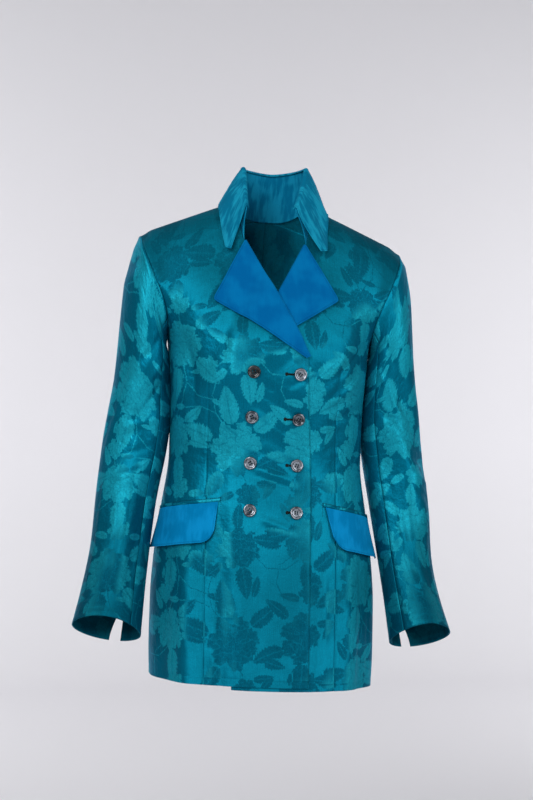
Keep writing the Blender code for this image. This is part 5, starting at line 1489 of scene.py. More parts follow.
def sleeve(side, upper_count=92, under_count=46, ring_count=168):
    upper = np.linspace(FOREARM_SEAM, HIND_SEAM, upper_count)
    under = np.linspace(HIND_SEAM, FOREARM_SEAM + 360.0, under_count)
    turns = np.concatenate([upper, under[1:-1]])
    edge = armhole_ring(turns) + SEAM * np.array([1.0, 0.0, 0.15])
    first = sleeve_points(side, 0.0, turns)
    joined = [edge + (first - edge) * share for share in np.linspace(0, 1, 6)[:-1]]
    rings = np.linspace(0.0, len(SLEEVE_RINGS) - 1.0, ring_count)
    base = np.array(joined + [sleeve_points(side, ring, turns) for ring in rings])
    order = np.concatenate([np.linspace(0, 1, 6)[:-1], 1.0 + 2.0 * rings])
    middle = base.mean(axis=1, keepdims=True)
    normal = faced(grid_normals(base, closed=True), base - middle)
    height = -run_along(base, 0)
    hem = hem_line(height - height[-1])[:, None]
    folds = sleeve_folds(side, turns, base, order, height, hem)
    outer = base + normal * folds[..., None]
    inward = faced(grid_normals(outer, closed=True), outer - middle)
    inward[0] = (outer[0] - outer[0].mean(axis=0)) * (0, 1, 1)
    inward /= np.linalg.norm(inward, axis=2, keepdims=True)
    inner = outer - inward * THICK["satin"]

    cuff = outer[-1, upper_count - 1, 2]
    open_by = VENT_SPREAD * (1.0 - smoothstep(cuff, cuff + VENT_LENGTH, outer[:, upper_count - 1, 2]))
    pieces = {
        "upper": (np.arange(upper_count), upper),
        "under": (np.append(np.arange(upper_count - 1, len(turns)), 0), under),
    }
    made = {}
    for name, (columns, angles) in pieces.items():
        skins = [outer[:, columns].copy(), inner[:, columns].copy()]
        flat = np.broadcast_to(angles * DEGREE, skins[0].shape[:2]).copy()
        if name == "upper":
            pulled = np.clip(1.0 - (HIND_SEAM - angles) / VENT_FADE, 0.0, 1.0)
            for i, spread in enumerate(open_by):
                moved = angles - spread * pulled
                flat[i] = moved * DEGREE
                for skin in skins:
                    drawn = [np.interp(moved, angles, skin[i, :, axis]) for axis in range(3)]
                    skin[i] = np.stack(drawn, axis=1)
        for column, towards in ((0, 1), (-1, -2)):
            step = skins[0][:, towards] - skins[0][:, column]
            step /= np.linalg.norm(step, axis=1, keepdims=True)
            for skin in skins:
                skin[:, column] += step * (SEAM / 2)
        ends = np.minimum(angles - angles[0], angles[-1] - angles) * DEGREE
        # Painted shade along the seams and the hem fold, and over the lower sleeves, which are painted darker
        # as if less light reached them.
        shade_share = 0.7 * seam_valley(ends, 0.002)[None, :]
        shade_share = shade_share + 0.2 * seam_valley(height, 0.002)[:, None] + 0.35 * hem
        shade_share = 0.5 * shade_share + 0.80 * (1.0 - smoothstep(-0.62, -0.34, skins[0][..., 2]))
        tall = np.broadcast_to(height[:, None], flat.shape)
        weave = {"left": (0.07, 0.13), "right": (0.15, 0.255)}[side]
        # Near the armhole the cloth counts as leaning further, and gleam weakens the lean, for the painted
        # sheen of the sleeves.
        made[name] = shell(f"satin_sleeve_{name}_{side}", *skins, "satin", SIDES[side] * flat, tall,
                           side=SIDES[side], gleam=0.55, weave=weave, shade_share=np.clip(shade_share, 0, 1),
                           turned=0.22 * seam_valley(height, 0.045)[:, None])
    return made


SLEEVES = {side: sleeve(side) for side in SIDES}

# %% [markdown]
# ## The collar
# The stand is the tall band that is sewn to the neck, and the fall turns over it and ends in two
# points. The fold between them is a small round one, because velvet is too thick to be creased
# sharply. Both follow the seam of the neck, which is measured in even steps round the opening.


# %% Lines round the neck
def neck_seam(steps):
    points = []
    for row in np.linspace(ROLL_TOP_ROW, TOP_ROW, 60):
        points.append(on_ring(row, "front", neck_distance(row, "front")))
    for row in np.linspace(TOP_ROW, row_of_nape(), 80)[1:]:
        points.append(on_ring(row, "back", neck_distance(row, "back")))
    points = np.array(points)
    run = np.concatenate([[0.0], np.cumsum(np.linalg.norm(np.diff(points, axis=0), axis=1))])
    even = np.linspace(0.0, run[-1], steps)
    return np.stack([np.interp(even, run, points[:, axis]) for axis in range(3)], axis=-1)


def soften(grid, axes, rounds):
    """Smooth a grid in place along some of its axes, with its outer lines kept."""
    for _ in range(rounds):
        for axis in axes:
            line = np.moveaxis(grid, axis, 0)
            line[1:-1] = (line[:-2] + 2 * line[1:-1] + line[2:]) / 4


def collar_lines(steps):
    half = neck_seam(steps)
    seam = np.concatenate([half * (-1, 1, 1), half[::-1][1:]])
    rows = np.array(list(COLLAR_RING.values()))
    row = np.interp(np.linspace(0.0, 1.0, len(seam)), rows[:, 0], np.arange(len(rows)))
    table = table_curve(rows)(row)
    tangent = np.gradient(seam[:, :2], axis=0)
    tangent /= np.linalg.norm(tangent, axis=1, keepdims=True)
    outward = np.stack([-tangent[:, 1], tangent[:, 0], np.zeros(len(seam))], axis=1)
    if outward[len(seam) // 2, 1] < 0:
        outward = -outward
    # A light smoothing takes the corners out of the direction, but not out of the seam.
    soften(outward, (0,), 6)
    outward /= np.linalg.norm(outward, axis=1, keepdims=True)
    return seam, table[:, 1:4], table[:, 4:7], table[:, 7], outward


def off_the_body(points, lift):
    """Points moved outwards until they stand at least this far off the fronts and the backs."""
    moved = points.copy()
    for face, sign in (("front", -1.0), ("back", 1.0)):
        mine = np.sign(points[..., 1]) == sign
        x, z = points[mine][:, 0], points[mine][:, 2]
        turn = np.stack([np.where(x < 0, -1.0, 1.0), np.ones_like(x), np.ones_like(x)], axis=-1)
        normal = surface_normals(np.abs(x), z, face) * turn
        height = (points[mine][:, 1] - surface_depth(np.abs(x), z, face)) * normal[:, 1]
        push = np.clip(lift - height, 0.0, 0.012)
        moved[mine] = points[mine] + normal * push[:, None]
    return moved


STITCH_INSET = 0.0025
GROOVE_WIDTH = 0.0008
GROOVE_SINK = 0.00045
FAR_IN = 9.0


def groove(ends):
    """The line that a row of edge stitches presses into velvet."""
    return seam_valley(ends - STITCH_INSET, GROOVE_WIDTH)


# %% The stand and the fall
COLLAR_STEPS = 76


def crowded(count):
    """Shares from 0 to 1 that lie closer together near both ends."""
    t = np.linspace(0.0, 1.0, count)
    return t - 0.11 * np.sin(2 * math.pi * t)


def collar_stand():
    seam, top, _, _, outward = collar_lines(COLLAR_STEPS)
    foot = seam - outward * 0.0003
    shares = crowded(20)
    belly = [outward * STAND_BELLY * math.sin(math.pi * u) for u in shares]
    outer = np.array([foot + (top - foot) * u + out for u, out in zip(shares, belly)])
    outer = outer - outward * 0.0004
    # The foot goes on down just inside the neck edge, where the seam allowance is.
    outer = np.concatenate([outer[:1] - outward * 0.0012 - (0, 0, 0.0030), outer])
    inner = outer - outward * (THICK["velvet"] + 0.0002)
    u = np.broadcast_to(run_along(outer, 1), outer.shape[:2])
    v = np.broadcast_to(run_along(outer, 0)[:, None], outer.shape[:2])
    # The stand gets most of the collar's lighter painted sheen.
    return shell("velvet_collar_stand", outer, inner, "velvet", u, v, gleam=0.85)


def collar_fall():
    seam, top, free, bow, outward = collar_lines(COLLAR_STEPS)
    wall = WALL["velvet"]
    crown = top - outward * wall / 2
    radius = wall / 2 + CLEAR + wall
    free = off_the_body(free, wall + FALL_OFF)
    turns = np.radians(np.linspace(180, 0, 15))
    outer = [crown + outward * radius * math.cos(t) + (0, 0, radius * math.sin(t)) for t in turns]
    inner = [crown + outward * (radius - THICK["velvet"]) * math.cos(t)
             + (0, 0, (radius - THICK["velvet"]) * math.sin(t)) for t in turns]
    start = outer[-1]
    share, out, up = FALL_KNEE
    knee = start + (free - start) * share + (0, 0, up) + outward * out
    knee[:, 0] += bow
    leaf = [start * (1 - u) ** 2 + 2 * knee * u * (1 - u) + free * u * u for u in crowded(34)[1:]]
    leaf = off_the_body(np.array(leaf), wall + FALL_OFF)
    outer = np.concatenate([np.array(outer), leaf])
    u = np.broadcast_to(run_along(outer, 1), outer.shape[:2])
    v = np.broadcast_to(-run_along(outer, 0)[:, None], outer.shape[:2])
    down = np.linalg.norm(np.diff(outer, axis=0), axis=2)
    from_free = np.concatenate([np.cumsum(down[::-1], axis=0)[::-1], np.zeros((1, outer.shape[1]))])
    across = np.linalg.norm(np.diff(outer, axis=1), axis=2)
    from_end = np.concatenate([np.zeros((len(outer), 1)), np.cumsum(across, axis=1)], axis=1)
    ends = np.minimum(from_free, np.minimum(from_end, from_end[:, -1:] - from_end))
    normal = faced(grid_normals(outer), outer * (1, 1, 0))
    skin = outer - normal * (GROOVE_SINK * groove(ends))[..., None]
    lower = outer - normal * THICK["velvet"]
    lower[:15] = np.array(inner)
    # The fall gets the collar's lighter painted sheen, and its stitched groove is painted darker.
    return shell("velvet_collar_fall", skin, lower, "velvet", u, v, gleam=1.0, shade_share=groove(ends)), leaf


STAND = collar_stand()
FALL, FALL_LEAF = collar_fall()


# %% [markdown]
# ## The lapels
# A lapel is the upper part of a front, turned back along the roll line. Here it is a leaf of velvet
# whose lip wraps the folded edge. It is laid on the finished front by casting a ray on to it from
# ahead at each place, so it rests on the folds that are there.

# %% The lapel leaves
# How far the leaf stops short of both ends of the roll line, its gap to the cloth, the most that it
# follows the folds beneath it, and how its point is rounded.
LAPEL_TRIM = (0.0035, 0.0010)
LIP_STAND = 0.0002
FOLLOW = 0.0015
TIP_REACH = 0.009
TIP_PULL = 0.0022


def facing_tree(thing):
    data = thing.data
    return BVHTree.FromPolygons([v.co for v in data.vertices], [p.vertices[:] for p in data.polygons])


def depth_ahead(tree, x, height):
    """The y of the foremost surface at places in the wearer's stance, or no number."""
    depth = np.full(np.shape(x), np.nan)
    for spot in np.ndindex(np.shape(x)):
        hit = tree.ray_cast(Vector((x[spot], -1.0, height[spot])), Vector((0.0, 1.0, 0.0)))[0]
        if hit is not None and hit.y < 0:
            depth[spot] = hit.y
    return depth


def on_the_front(side, tree, x, z, lift):
    base = np.stack([x, surface_depth(x, z), z], axis=-1)
    normal = surface_normals(x, z)
    smooth = base + normal * front_rise(side, x, z)[..., None]
    posed = stand_in_pose(smooth * (SIDES[side], 1, 1))
    found = depth_ahead(tree, posed[..., 0], posed[..., 2])
    offset = np.clip(np.where(np.isnan(found), 0.0, found - smooth[..., 1]), -FOLLOW, FOLLOW)
    soften(offset, (0, 1), 3)
    smooth[..., 1] += offset
    return smooth + normal * lift[..., None]


def lapel(side, rows=96, across=44):
    top, tip, end = (np.array(p) for p in (ROLL_TOP, LAPEL_TIP[side], ROLL_END))
    down = (end - top) / np.linalg.norm(end - top)
    over = np.array([-down[1], down[0]])
    over = over if over @ (tip - top) > 0 else -over
    top, end = top + down * LAPEL_TRIM[0], end - down * LAPEL_TRIM[1]
    tail = end + over * LAPEL_TAIL
    turns = np.radians(np.linspace(180.0, 90.0, 12))
    reach = crowded(across)[1:]
    thick = THICK["velvet"]
    places, lifts, low_places, low_lifts, edge = [], [], [], [], []
    for share in crowded(rows):
        start = top + (end - top) * share
        rim = tip + (tail - tip) * share
        lip = [start + over * LAPEL_FOLD * math.cos(t) for t in turns]
        leaf = [start + (rim - start) * u for u in reach]
        swell = [math.sin(math.pi * min(u * 1.1, 1.0) / 2) for u in reach]
        flat = [LAPEL_FOLD + LIP_STAND + LAPEL_LIFT * s * (1.0 - share**4) for s in swell]
        places.append([start - over * LAPEL_FOLD] + lip + leaf)
        lifts.append([-THICK["satin"]] + [LAPEL_FOLD * math.sin(t) + LIP_STAND for t in turns] + flat)
        small = LAPEL_FOLD - thick
        low_places.append([start - over * small] + [start + over * small * math.cos(t) for t in turns] + leaf)
        low_lip = [small * math.sin(t) + LIP_STAND for t in turns]
        low_lifts.append([-THICK["satin"]] + low_lip + [each - thick for each in flat])
        long = np.linalg.norm(rim - start)
        edge.append([FAR_IN] * (len(lip) + 1) + [(1.0 - u) * long for u in reach])
    places, lifts = np.array(places), np.array(lifts)
    low_places, low_lifts = np.array(low_places), np.array(low_lifts)
    # The point of the lapel is turned by hand and comes out a little round.
    home = top * 0.5 + end * 0.5 - tip
    home = home / np.linalg.norm(home)
    for grid in (places, low_places):
        away = np.linalg.norm(grid - tip, axis=2, keepdims=True)
        near = np.clip(1.0 - away / TIP_REACH, 0.0, 1.0)
        grid += home * near**2 * TIP_PULL
    tree = facing_tree(FRONTS[side])
    outer = on_the_front(side, tree, places[..., 0], places[..., 1], lifts)
    inner = on_the_front(side, tree, low_places[..., 0], low_places[..., 1], low_lifts)
    from_top = np.linalg.norm(places - places[:1], axis=2)
    edge = np.array(edge)
    ends = np.minimum(edge, np.where(edge < FAR_IN / 2, from_top, FAR_IN))
    normal = faced(grid_normals(outer), np.broadcast_to(np.array([0.0, -1.0, 0.0]), outer.shape))
    outer = outer - normal * (GROOVE_SINK * groove(ends))[..., None]
    # The groove of the edge stitches is painted darker.
    return shell("velvet_lapel_" + side, outer, inner, "velvet", SIDES[side] * places[..., 0], places[..., 1],
                 side=SIDES[side], gleam=0.0, shade_share=groove(ends))


LAPELS = {side: lapel(side) for side in SIDES}


# %% [markdown]
# ## The pockets
# A flap hangs from a narrow welt. Both are found on the finished front: a place is given by its
# distance round the body and its height, as a tailor chalks it, and the front's own grid says where
# that is in space and which way the cloth faces there.

# %% Places on a finished front
def on_panel(side, distance, height):
    """Points on a front's outer skin and the directions off it, at distances round and heights."""
    panel = PANELS[side]
    shape = np.shape(distance)

    def at(s, z):
        rows = np.interp(z, panel["height"][:200], np.arange(200))
        low = np.minimum(rows.astype(int), 198)
        share = (rows - low)[:, None]
        found = np.empty((len(s), 3))
        for k in range(len(s)):
            pair = []
            for i in (low[k], low[k] + 1):
                run, row = panel["distance"][i], panel["outer"][i]
                pair.append([np.interp(s[k], run, row[:, axis]) for axis in range(3)])
            found[k] = np.array(pair[0]) * (1 - share[k]) + np.array(pair[1]) * share[k]
        return found

    s, z = np.ravel(distance).astype(float), np.ravel(height).astype(float)
    step = 0.0015
    across = at(s + step, z) - at(s - step, z)
    up = at(s, z + step) - at(s, z - step)
    normal = np.cross(across, up)
    normal /= np.linalg.norm(normal, axis=1, keepdims=True)
    return at(s, z).reshape(shape + (3,)), faced(normal, at(s, z) * (1, 1, 0)).reshape(shape + (3,))


def pocket_line(distance):
    return POCKET_TOP - POCKET_SLANT * (distance - POCKET_FRONT)


# %% The flap and the welt
FLAP_STAND = 0.0007
FLAP_SWING = (0.0045, 0.0025)
WELT_STAND = 0.0004
WELT_HIGH = 0.0014
WELT_ROUND = 0.0010
RIPPLE = 0.00018
RIPPLE_STEP = 0.0031


def flap_reach(lengthwise, inset=0.0):
    """How far down a flap, or a line inside its edge, reaches. Its front corner is round."""
    radius = FLAP_CORNER - inset
    corner = np.clip(1.0 - (lengthwise - inset) / radius, 0.0, 1.0)
    return FLAP_DEPTH - inset - radius * (1.0 - np.sqrt(np.maximum(1.0 - corner**2, 0.0)))


def flap_place(side, lengthwise, drop):
    """Distance round and height of places on a flap, and how far its face stands off the front."""
    distance = POCKET_FRONT + lengthwise + FLAP_RAKE[side] * drop / FLAP_DEPTH
    height = pocket_line(distance) - WELT_WIDTH - SEAM - drop
    away = FLAP_SWING[0] + FLAP_SWING[1] * (lengthwise / FLAP_LENGTH) ** 3
    return distance, height, FLAP_STAND + WALL["velvet"] + away * (drop / FLAP_DEPTH) ** 1.5


def pocket_flap(side, along=58, down=30):
    lengthwise = np.linspace(0, 1, along) ** 1.25 * FLAP_LENGTH
    depth = flap_reach(lengthwise)
    drop = np.outer(crowded(down), depth)
    distance, height, lift = flap_place(side, lengthwise, drop)
    points, normal = on_panel(side, distance, height)
    # Stiff velvet bridges the dart beneath it.
    for grid in (points, normal):
        soften(grid, (1,), 10)
    ends = np.minimum(depth - drop, np.minimum(lengthwise, FLAP_LENGTH - lengthwise) + 0 * drop)
    ends = np.where(drop < 0.003, FAR_IN, ends)
    outer = points + normal * (lift - GROOVE_SINK * groove(ends))[..., None]
    inner = points + normal * (lift - THICK["velvet"])[..., None]
    # The flap gets a brighter painted sheen, and the groove of its stitches is painted darker.
    return shell("velvet_pocket_flap_" + side, outer, inner, "velvet", SIDES[side] * distance, height,
                 side=SIDES[side], gleam=0.50, shade_share=groove(ends))


def pocket_welt(side, along=72, down=9):
    distance = np.broadcast_to(np.linspace(-0.003, FLAP_LENGTH + 0.001, along), (down, along)) + POCKET_FRONT
    share = np.linspace(0.0, 1.0, down)[:, None]
    height = pocket_line(distance) - share * WELT_WIDTH
    swell = np.sin(math.pi * np.clip(share * 0.9 + 0.05, 0, 1))
    round_lift = WELT_HIGH + WELT_ROUND * swell + WELT_STAND
    ripple = RIPPLE * np.sin(2 * math.pi * distance / RIPPLE_STEP)
    points, normal = on_panel(side, distance, height)
    outer = points + normal * (round_lift + ripple)[..., None]
    inner = points + normal * (WELT_STAND + 0 * distance)[..., None]
    # The welt counts only a little of its lean for the painted sheen.
    return shell("satin_pocket_welt_" + side, outer, inner, "satin", SIDES[side] * distance, height,
                 side=SIDES[side], gleam=0.3, weave=(0.02, 0.31))


FLAPS = {side: pocket_flap(side) for side in SIDES}
WELTS = {side: pocket_welt(side) for side in SIDES}


# %% [markdown]
# ## The buttons
# Each button is turned on a lathe: a raised rim, a dished face and four drilled holes. One button is
# made well and then copied to its eight places, each facing away from the cloth beneath it. Two
# bars of thread hold each one through its holes.

# %% One button
HOLE_RADIUS = 0.00120
HOLE_PLACE = 0.0025


def drilled_button(around=56):
    # Columns: share of the radius and share of the depth, from the back over the rim to the dish.
    r, d = BUTTON_RADIUS, BUTTON_DEPTH
    profile = [
        (0.00, 0.00), (0.74, 0.00), (0.86, 0.10), (0.955, 0.34), (0.995, 0.60), (1.00, 0.72), (0.975, 0.88),
        (0.92, 0.97), (0.85, 1.00), (0.78, 0.95), (0.72, 0.82), (0.67, 0.66), (0.62, 0.56), (0.54, 0.51),
        (0.42, 0.50), (0.25, 0.50), (0.00, 0.50),
    ]
    mesh = bmesh.new()
    rings = []
    for share, height in profile:
        if share == 0.0:
            rings.append([mesh.verts.new((0.0, 0.0, height * d))])
            continue
        turn = [2 * math.pi * k / around for k in range(around)]
        ring = [(share * r * math.cos(t), share * r * math.sin(t), height * d) for t in turn]
        rings.append([mesh.verts.new(spot) for spot in ring])
    for low, high in zip(rings, rings[1:]):
        for k in range(around):
            one, two = k % around, (k + 1) % around
            if len(low) == 1:
                mesh.faces.new([low[0], high[two], high[one]])
            elif len(high) == 1:
                mesh.faces.new([low[one], low[two], high[0]])
            else:
                mesh.faces.new([low[one], low[two], high[two], high[one]])
    bmesh.ops.recalc_face_normals(mesh, faces=mesh.faces)
    blank = add_object("turned_button", mesh_of(mesh, "turned_button"))
    drill = bmesh.new()
    for k in range(4):
        angle = math.pi / 4 + k * math.pi / 2
        spot = Matrix.Translation((HOLE_PLACE * math.cos(angle), HOLE_PLACE * math.sin(angle), 0.0))
        bmesh.ops.create_cone(drill, cap_ends=True, segments=20, radius1=HOLE_RADIUS, radius2=HOLE_RADIUS,
                              depth=4 * d, matrix=spot)
    cutter = add_object("drill", mesh_of(drill, "drill"))
    cut = blank.modifiers.new("holes", "BOOLEAN")
    cut.operation, cut.object = "DIFFERENCE", cutter
    drilled = plain_mesh(blank)
    bpy.data.objects.remove(cutter)
    drilled.shade_smooth()
    drilled.set_sharp_from_angle(angle=math.radians(40))
    # How far out each point lies lets the finish paint shade on the wall inside the rim and on the outer
    # edge.
    share = [math.hypot(v.co.x, v.co.y) / BUTTON_RADIUS for v in drilled.vertices]
    drilled.attributes.new("share", "FLOAT", "POINT").data.foreach_set("value", share)
    return drilled


BUTTON = drilled_button()
print("faces of one button:", len(BUTTON.polygons))


# %% Every button in its place
BUTTONS, SEATS = {}, {}
for column, number in BUTTON_NAMES:
    foot, facing = button_seat(column, number)
    turn = Vector(facing).to_track_quat("Z", "Y").to_matrix().to_4x4()
    spin = Matrix.Rotation(math.radians(11.0 * number + (40.0 if column == "left" else 0.0)), 4, "Z")
    seat = Matrix.Translation(Vector(foot)) @ turn @ spin
    data = BUTTON.copy()
    data.transform(seat)
    data.materials.clear()
    data.materials.append(FINISH["dark shell" if (column, number) == ("right", 1) else "shell"])
    thing = add_object(f"shell_button_{column}_{number}", data)
    BUTTONS[column, number], SEATS[column, number] = thing, seat
print("buttons:", len(BUTTONS))


# %% [markdown]
# ## Stitches that follow a line
# Hand stitches repeat along an edge, so Geometry Nodes make them. A line of points carries the
# direction off the cloth at each point. The tree walks along it in even steps, sets a small bead
# of thread at every step, turns it to face off the cloth and along the line, and gives it its
# finish. The same tree sews the welts, the edges of the velvet and, turned across, the buttonholes.

# %% The stitching tree
def stitching_tree():
    tree = bpy.data.node_groups.new("stitches along a line", "GeometryNodeTree")
    face = tree.interface
    face.new_socket(name="Line", in_out="INPUT", socket_type="NodeSocketGeometry")
    for label, value in (("Spacing", 0.003), ("Along", 0.002), ("Across", 0.0005), ("Height", 0.0004)):
        made = face.new_socket(name=label, in_out="INPUT", socket_type="NodeSocketFloat")
        made.default_value = value
    face.new_socket(name="Thread", in_out="INPUT", socket_type="NodeSocketMaterial")
    face.new_socket(name="Stitches", in_out="OUTPUT", socket_type="NodeSocketGeometry")
    nodes, join = tree.nodes, tree.links.new
    given, out = nodes.new("NodeGroupInput").outputs, nodes.new("NodeGroupOutput").inputs
    line = nodes.new("GeometryNodeMeshToCurve")
    walk = nodes.new("GeometryNodeResampleCurve")
    walk.mode = "LENGTH"
    join(given["Line"], line.inputs["Mesh"])
    join(line.outputs["Curve"], walk.inputs["Curve"])
    join(given["Spacing"], walk.inputs["Length"])
    bead = nodes.new("GeometryNodeMeshUVSphere")
    bead.inputs["Segments"].default_value = 6
    bead.inputs["Rings"].default_value = 4
    bead.inputs["Radius"].default_value = 0.5
    off = nodes.new("GeometryNodeInputNamedAttribute")
    off.data_type = "FLOAT_VECTOR"
    off.inputs["Name"].default_value = "off"
    upright = nodes.new("FunctionNodeAlignRotationToVector")
    upright.axis = "Z"
    join(off.outputs["Attribute"], upright.inputs["Vector"])
    forward = nodes.new("FunctionNodeAlignRotationToVector")
    forward.axis, forward.pivot_axis = "X", "Z"
    join(upright.outputs["Rotation"], forward.inputs["Rotation"])
    join(nodes.new("GeometryNodeInputTangent").outputs["Tangent"], forward.inputs["Vector"])
    size = nodes.new("ShaderNodeCombineXYZ")
    for label, socket in (("Along", "X"), ("Across", "Y"), ("Height", "Z")):
        join(given[label], size.inputs[socket])
    sewn = nodes.new("GeometryNodeInstanceOnPoints")
    join(walk.outputs["Curve"], sewn.inputs["Points"])
    join(bead.outputs["Mesh"], sewn.inputs["Instance"])
    join(forward.outputs["Rotation"], sewn.inputs["Rotation"])
    join(size.outputs["Vector"], sewn.inputs["Scale"])
    real = nodes.new("GeometryNodeRealizeInstances")
    join(sewn.outputs["Instances"], real.inputs["Geometry"])
    smooth = nodes.new("GeometryNodeSetShadeSmooth")
    join(real.outputs["Geometry"], smooth.inputs["Geometry"])
    dyed = nodes.new("GeometryNodeSetMaterial")
    join(smooth.outputs["Geometry"], dyed.inputs["Geometry"])
    join(given["Thread"], dyed.inputs["Material"])
    join(dyed.outputs["Geometry"], out["Stitches"])
    return tree


STITCHING = stitching_tree()


def sew(name, lines, finish, **sizes):
    """Stitches along lines, each given as points, directions off the cloth, and whether it closes."""
    points, offs, edges = [], [], []
    for line, off, closed in lines:
        first = len(points)
        points += [tuple(p) for p in line]
        offs += [tuple(n) for n in off]
        edges += [(first + k, first + k + 1) for k in range(len(line) - 1)]
        if closed:
            edges.append((first + len(line) - 1, first))
    data = bpy.data.meshes.new(name + "_line")
    data.from_pydata(points, edges, [])
    data.attributes.new("off", "FLOAT_VECTOR", "POINT").data.foreach_set("vector", np.array(offs).ravel())
    guide = add_object(name + "_line", data)
    sewing = guide.modifiers.new("sewing", "NODES")
    sewing.node_group = STITCHING
    inputs = {item.name: item.identifier for item in STITCHING.interface.items_tree if item.in_out == "INPUT"}
    for label, value in sizes.items():
        sewing[inputs[label.capitalize()]] = value
    sewing[inputs["Thread"]] = FINISH[finish]
    mesh = plain_mesh(guide)
    mesh.name = name
    if "off" in mesh.attributes:
        mesh.attributes.remove(mesh.attributes["off"])
    print(f"{name}: {len(mesh.polygons)} faces")
    return add_object(name, mesh)


def posed_line(side, points, normal, lift):
    mirror = (SIDES[side], 1, 1)
    return stand_in_pose((points + normal * lift) * mirror), normal * mirror


# %% [markdown]
# ## Buttonholes
# The worked buttonholes lie on the right front, under the fastened buttons. Each is a slit with a
# round end for the shank, and close stitches bind its edge. The slit itself is a sunk leaf in the
# dark colour of the thread, a painted shadow for the open cut.

# %% Buttonholes on the right front
HOLE_START = {1: -0.0385, 2: -0.0385, 3: -0.0430, 4: -0.0450}
HOLE_STOP = {1: -0.0125, 2: -0.0135, 3: -0.0190, 4: -0.0200}
HOLE_HALF = 0.00090
EYE_RADIUS = 0.0021
HOLE_DROP = 0.0004


def hole_outline(number):
    """The bound edge of a buttonhole, as distances round and heights: a slit with a round eye."""
    start, stop = HOLE_START[number], HOLE_STOP[number]
    turn = np.radians(np.linspace(155.0, -155.0, 14))
    slit = np.linspace(stop - 2 * EYE_RADIUS, start, 10)
    along = np.concatenate([slit[::-1], stop - EYE_RADIUS + EYE_RADIUS * np.cos(turn), slit])
    up = np.concatenate([np.full(10, HOLE_HALF), EYE_RADIUS * np.sin(turn), np.full(10, -HOLE_HALF)])
    return along, BUTTON_ROWS[number - 1] - HOLE_DROP + up


binding, slits = [], []
for number in range(1, len(BUTTON_ROWS) + 1):
    s, z = hole_outline(number)
    points, normal = on_panel("right", s, z)
    line, off = posed_line("right", points, normal, 0.0002)
    binding.append((line, off, True))
    low, _ = posed_line("right", points, normal, 0.00008)
    slits.append(low)
buttonhole_binding = sew("buttonhole_binding", binding, "buttonhole thread",
                         spacing=0.00062, along=0.00055, across=0.0018, height=0.0008)

# The slits: dark leaves that paint the shadow in each open cut.
mesh = bmesh.new()
for line in slits:
    mesh.faces.new([mesh.verts.new(p) for p in line])
bmesh.ops.triangulate(mesh, faces=mesh.faces)
data = mesh_of(mesh, "buttonhole_slits")
data.materials.append(FINISH["buttonhole thread"])
buttonhole_slits = add_object("buttonhole_slits", data)
thick = buttonhole_slits.modifiers.new("thick", "SOLIDIFY")
thick.thickness, thick.offset = 0.00012, 0.0

# %% [markdown]
# ## Edge stitches
# A tailor pricks small stitches along the edges of a velvet collar, so that it lies flat. They sink
# into the pile. Along the pocket welts the stitches are bolder, and they show as a row of dashes.


# %% Stitches along the edges
WELT_STITCH_LIFT = 0.0003
FLAP_STITCH_SINK = 0.0003
STITCH_SINK = 0.0002


def edge_line(points, normals, side, lift):
    return (*posed_line(side, points, normals, lift), False)


def welt_lines(side):
    lines = []
    distance = POCKET_FRONT + np.linspace(-0.0025, FLAP_LENGTH, 60)
    points, normal = on_panel(side, distance, pocket_line(distance) + 0.0006)
    lines.append(edge_line(points, normal, side, WELT_STITCH_LIFT))
    height = pocket_line(POCKET_FRONT) + np.linspace(0.0, -0.019, 12)
    points, normal = on_panel(side, np.full(12, POCKET_FRONT - 0.0040), height)
    lines.append(edge_line(points, normal, side, WELT_STITCH_LIFT))
    return lines


WELT_STITCHES = {side: sew(f"welt_stitches_{side}", welt_lines(side), "teal thread",
                           spacing=0.0030, along=0.0021, across=0.00075, height=0.0006) for side in SIDES}


def flap_edge(side):
    """The line of stitches inside the free edges of a flap: down, along its bottom and up again."""
    first, last = STITCH_INSET, FLAP_LENGTH - STITCH_INSET
    lengthwise = np.concatenate([np.full(14, first), np.linspace(first, last, 50), np.full(14, last)])
    bottom = flap_reach(lengthwise, STITCH_INSET)
    drop = bottom.copy()
    drop[:14] = np.linspace(0.003, bottom[14], 14)
    drop[-14:] = np.linspace(bottom[-15], 0.003, 14)
    distance, height, lift = flap_place(side, lengthwise, drop)
    points, normal = on_panel(side, distance, height)
    return edge_line(points, normal, side, lift[:, None] - FLAP_STITCH_SINK)


def inset_line(thing, spots):
    """A line on a finished shell found by the nearest points of its surface."""
    tree = facing_tree(thing)
    points, normals = [], []
    for spot in spots:
        near, normal, _, _ = tree.find_nearest(Vector(spot))
        points.append(np.array(near) - np.array(normal) * STITCH_SINK)
        normals.append(np.array(normal))
    return np.array(points), np.array(normals), False


def lapel_edge(side):
    """The line of stitches inside the two free edges of a lapel."""
    top, tip, end = (np.array(p) for p in (ROLL_TOP, LAPEL_TIP[side], ROLL_END))
    home = (top + end) / 2
    corner = tip + (home - tip) / np.linalg.norm(home - tip) * 0.0045
    first = top + (tip - top) * 0.10 + (end - top) / np.linalg.norm(end - top) * 0.0058
    last = end + (tip - end) * 0.10 + (top - end) / np.linalg.norm(end - top) * 0.0024
    spots = [first + (corner - first) * u for u in np.linspace(0, 1, 40)]
    spots += [corner + (last - corner) * u for u in np.linspace(0, 1, 60)[1:]]
    spots = np.array(spots)
    x, z = spots[:, 0], spots[:, 1]
    ahead = np.stack([x, surface_depth(x, z) - 0.010, z], axis=1) * (SIDES[side], 1, 1)
    return inset_line(LAPELS[side], stand_in_pose(ahead))


FALL_INSET = 0.0026


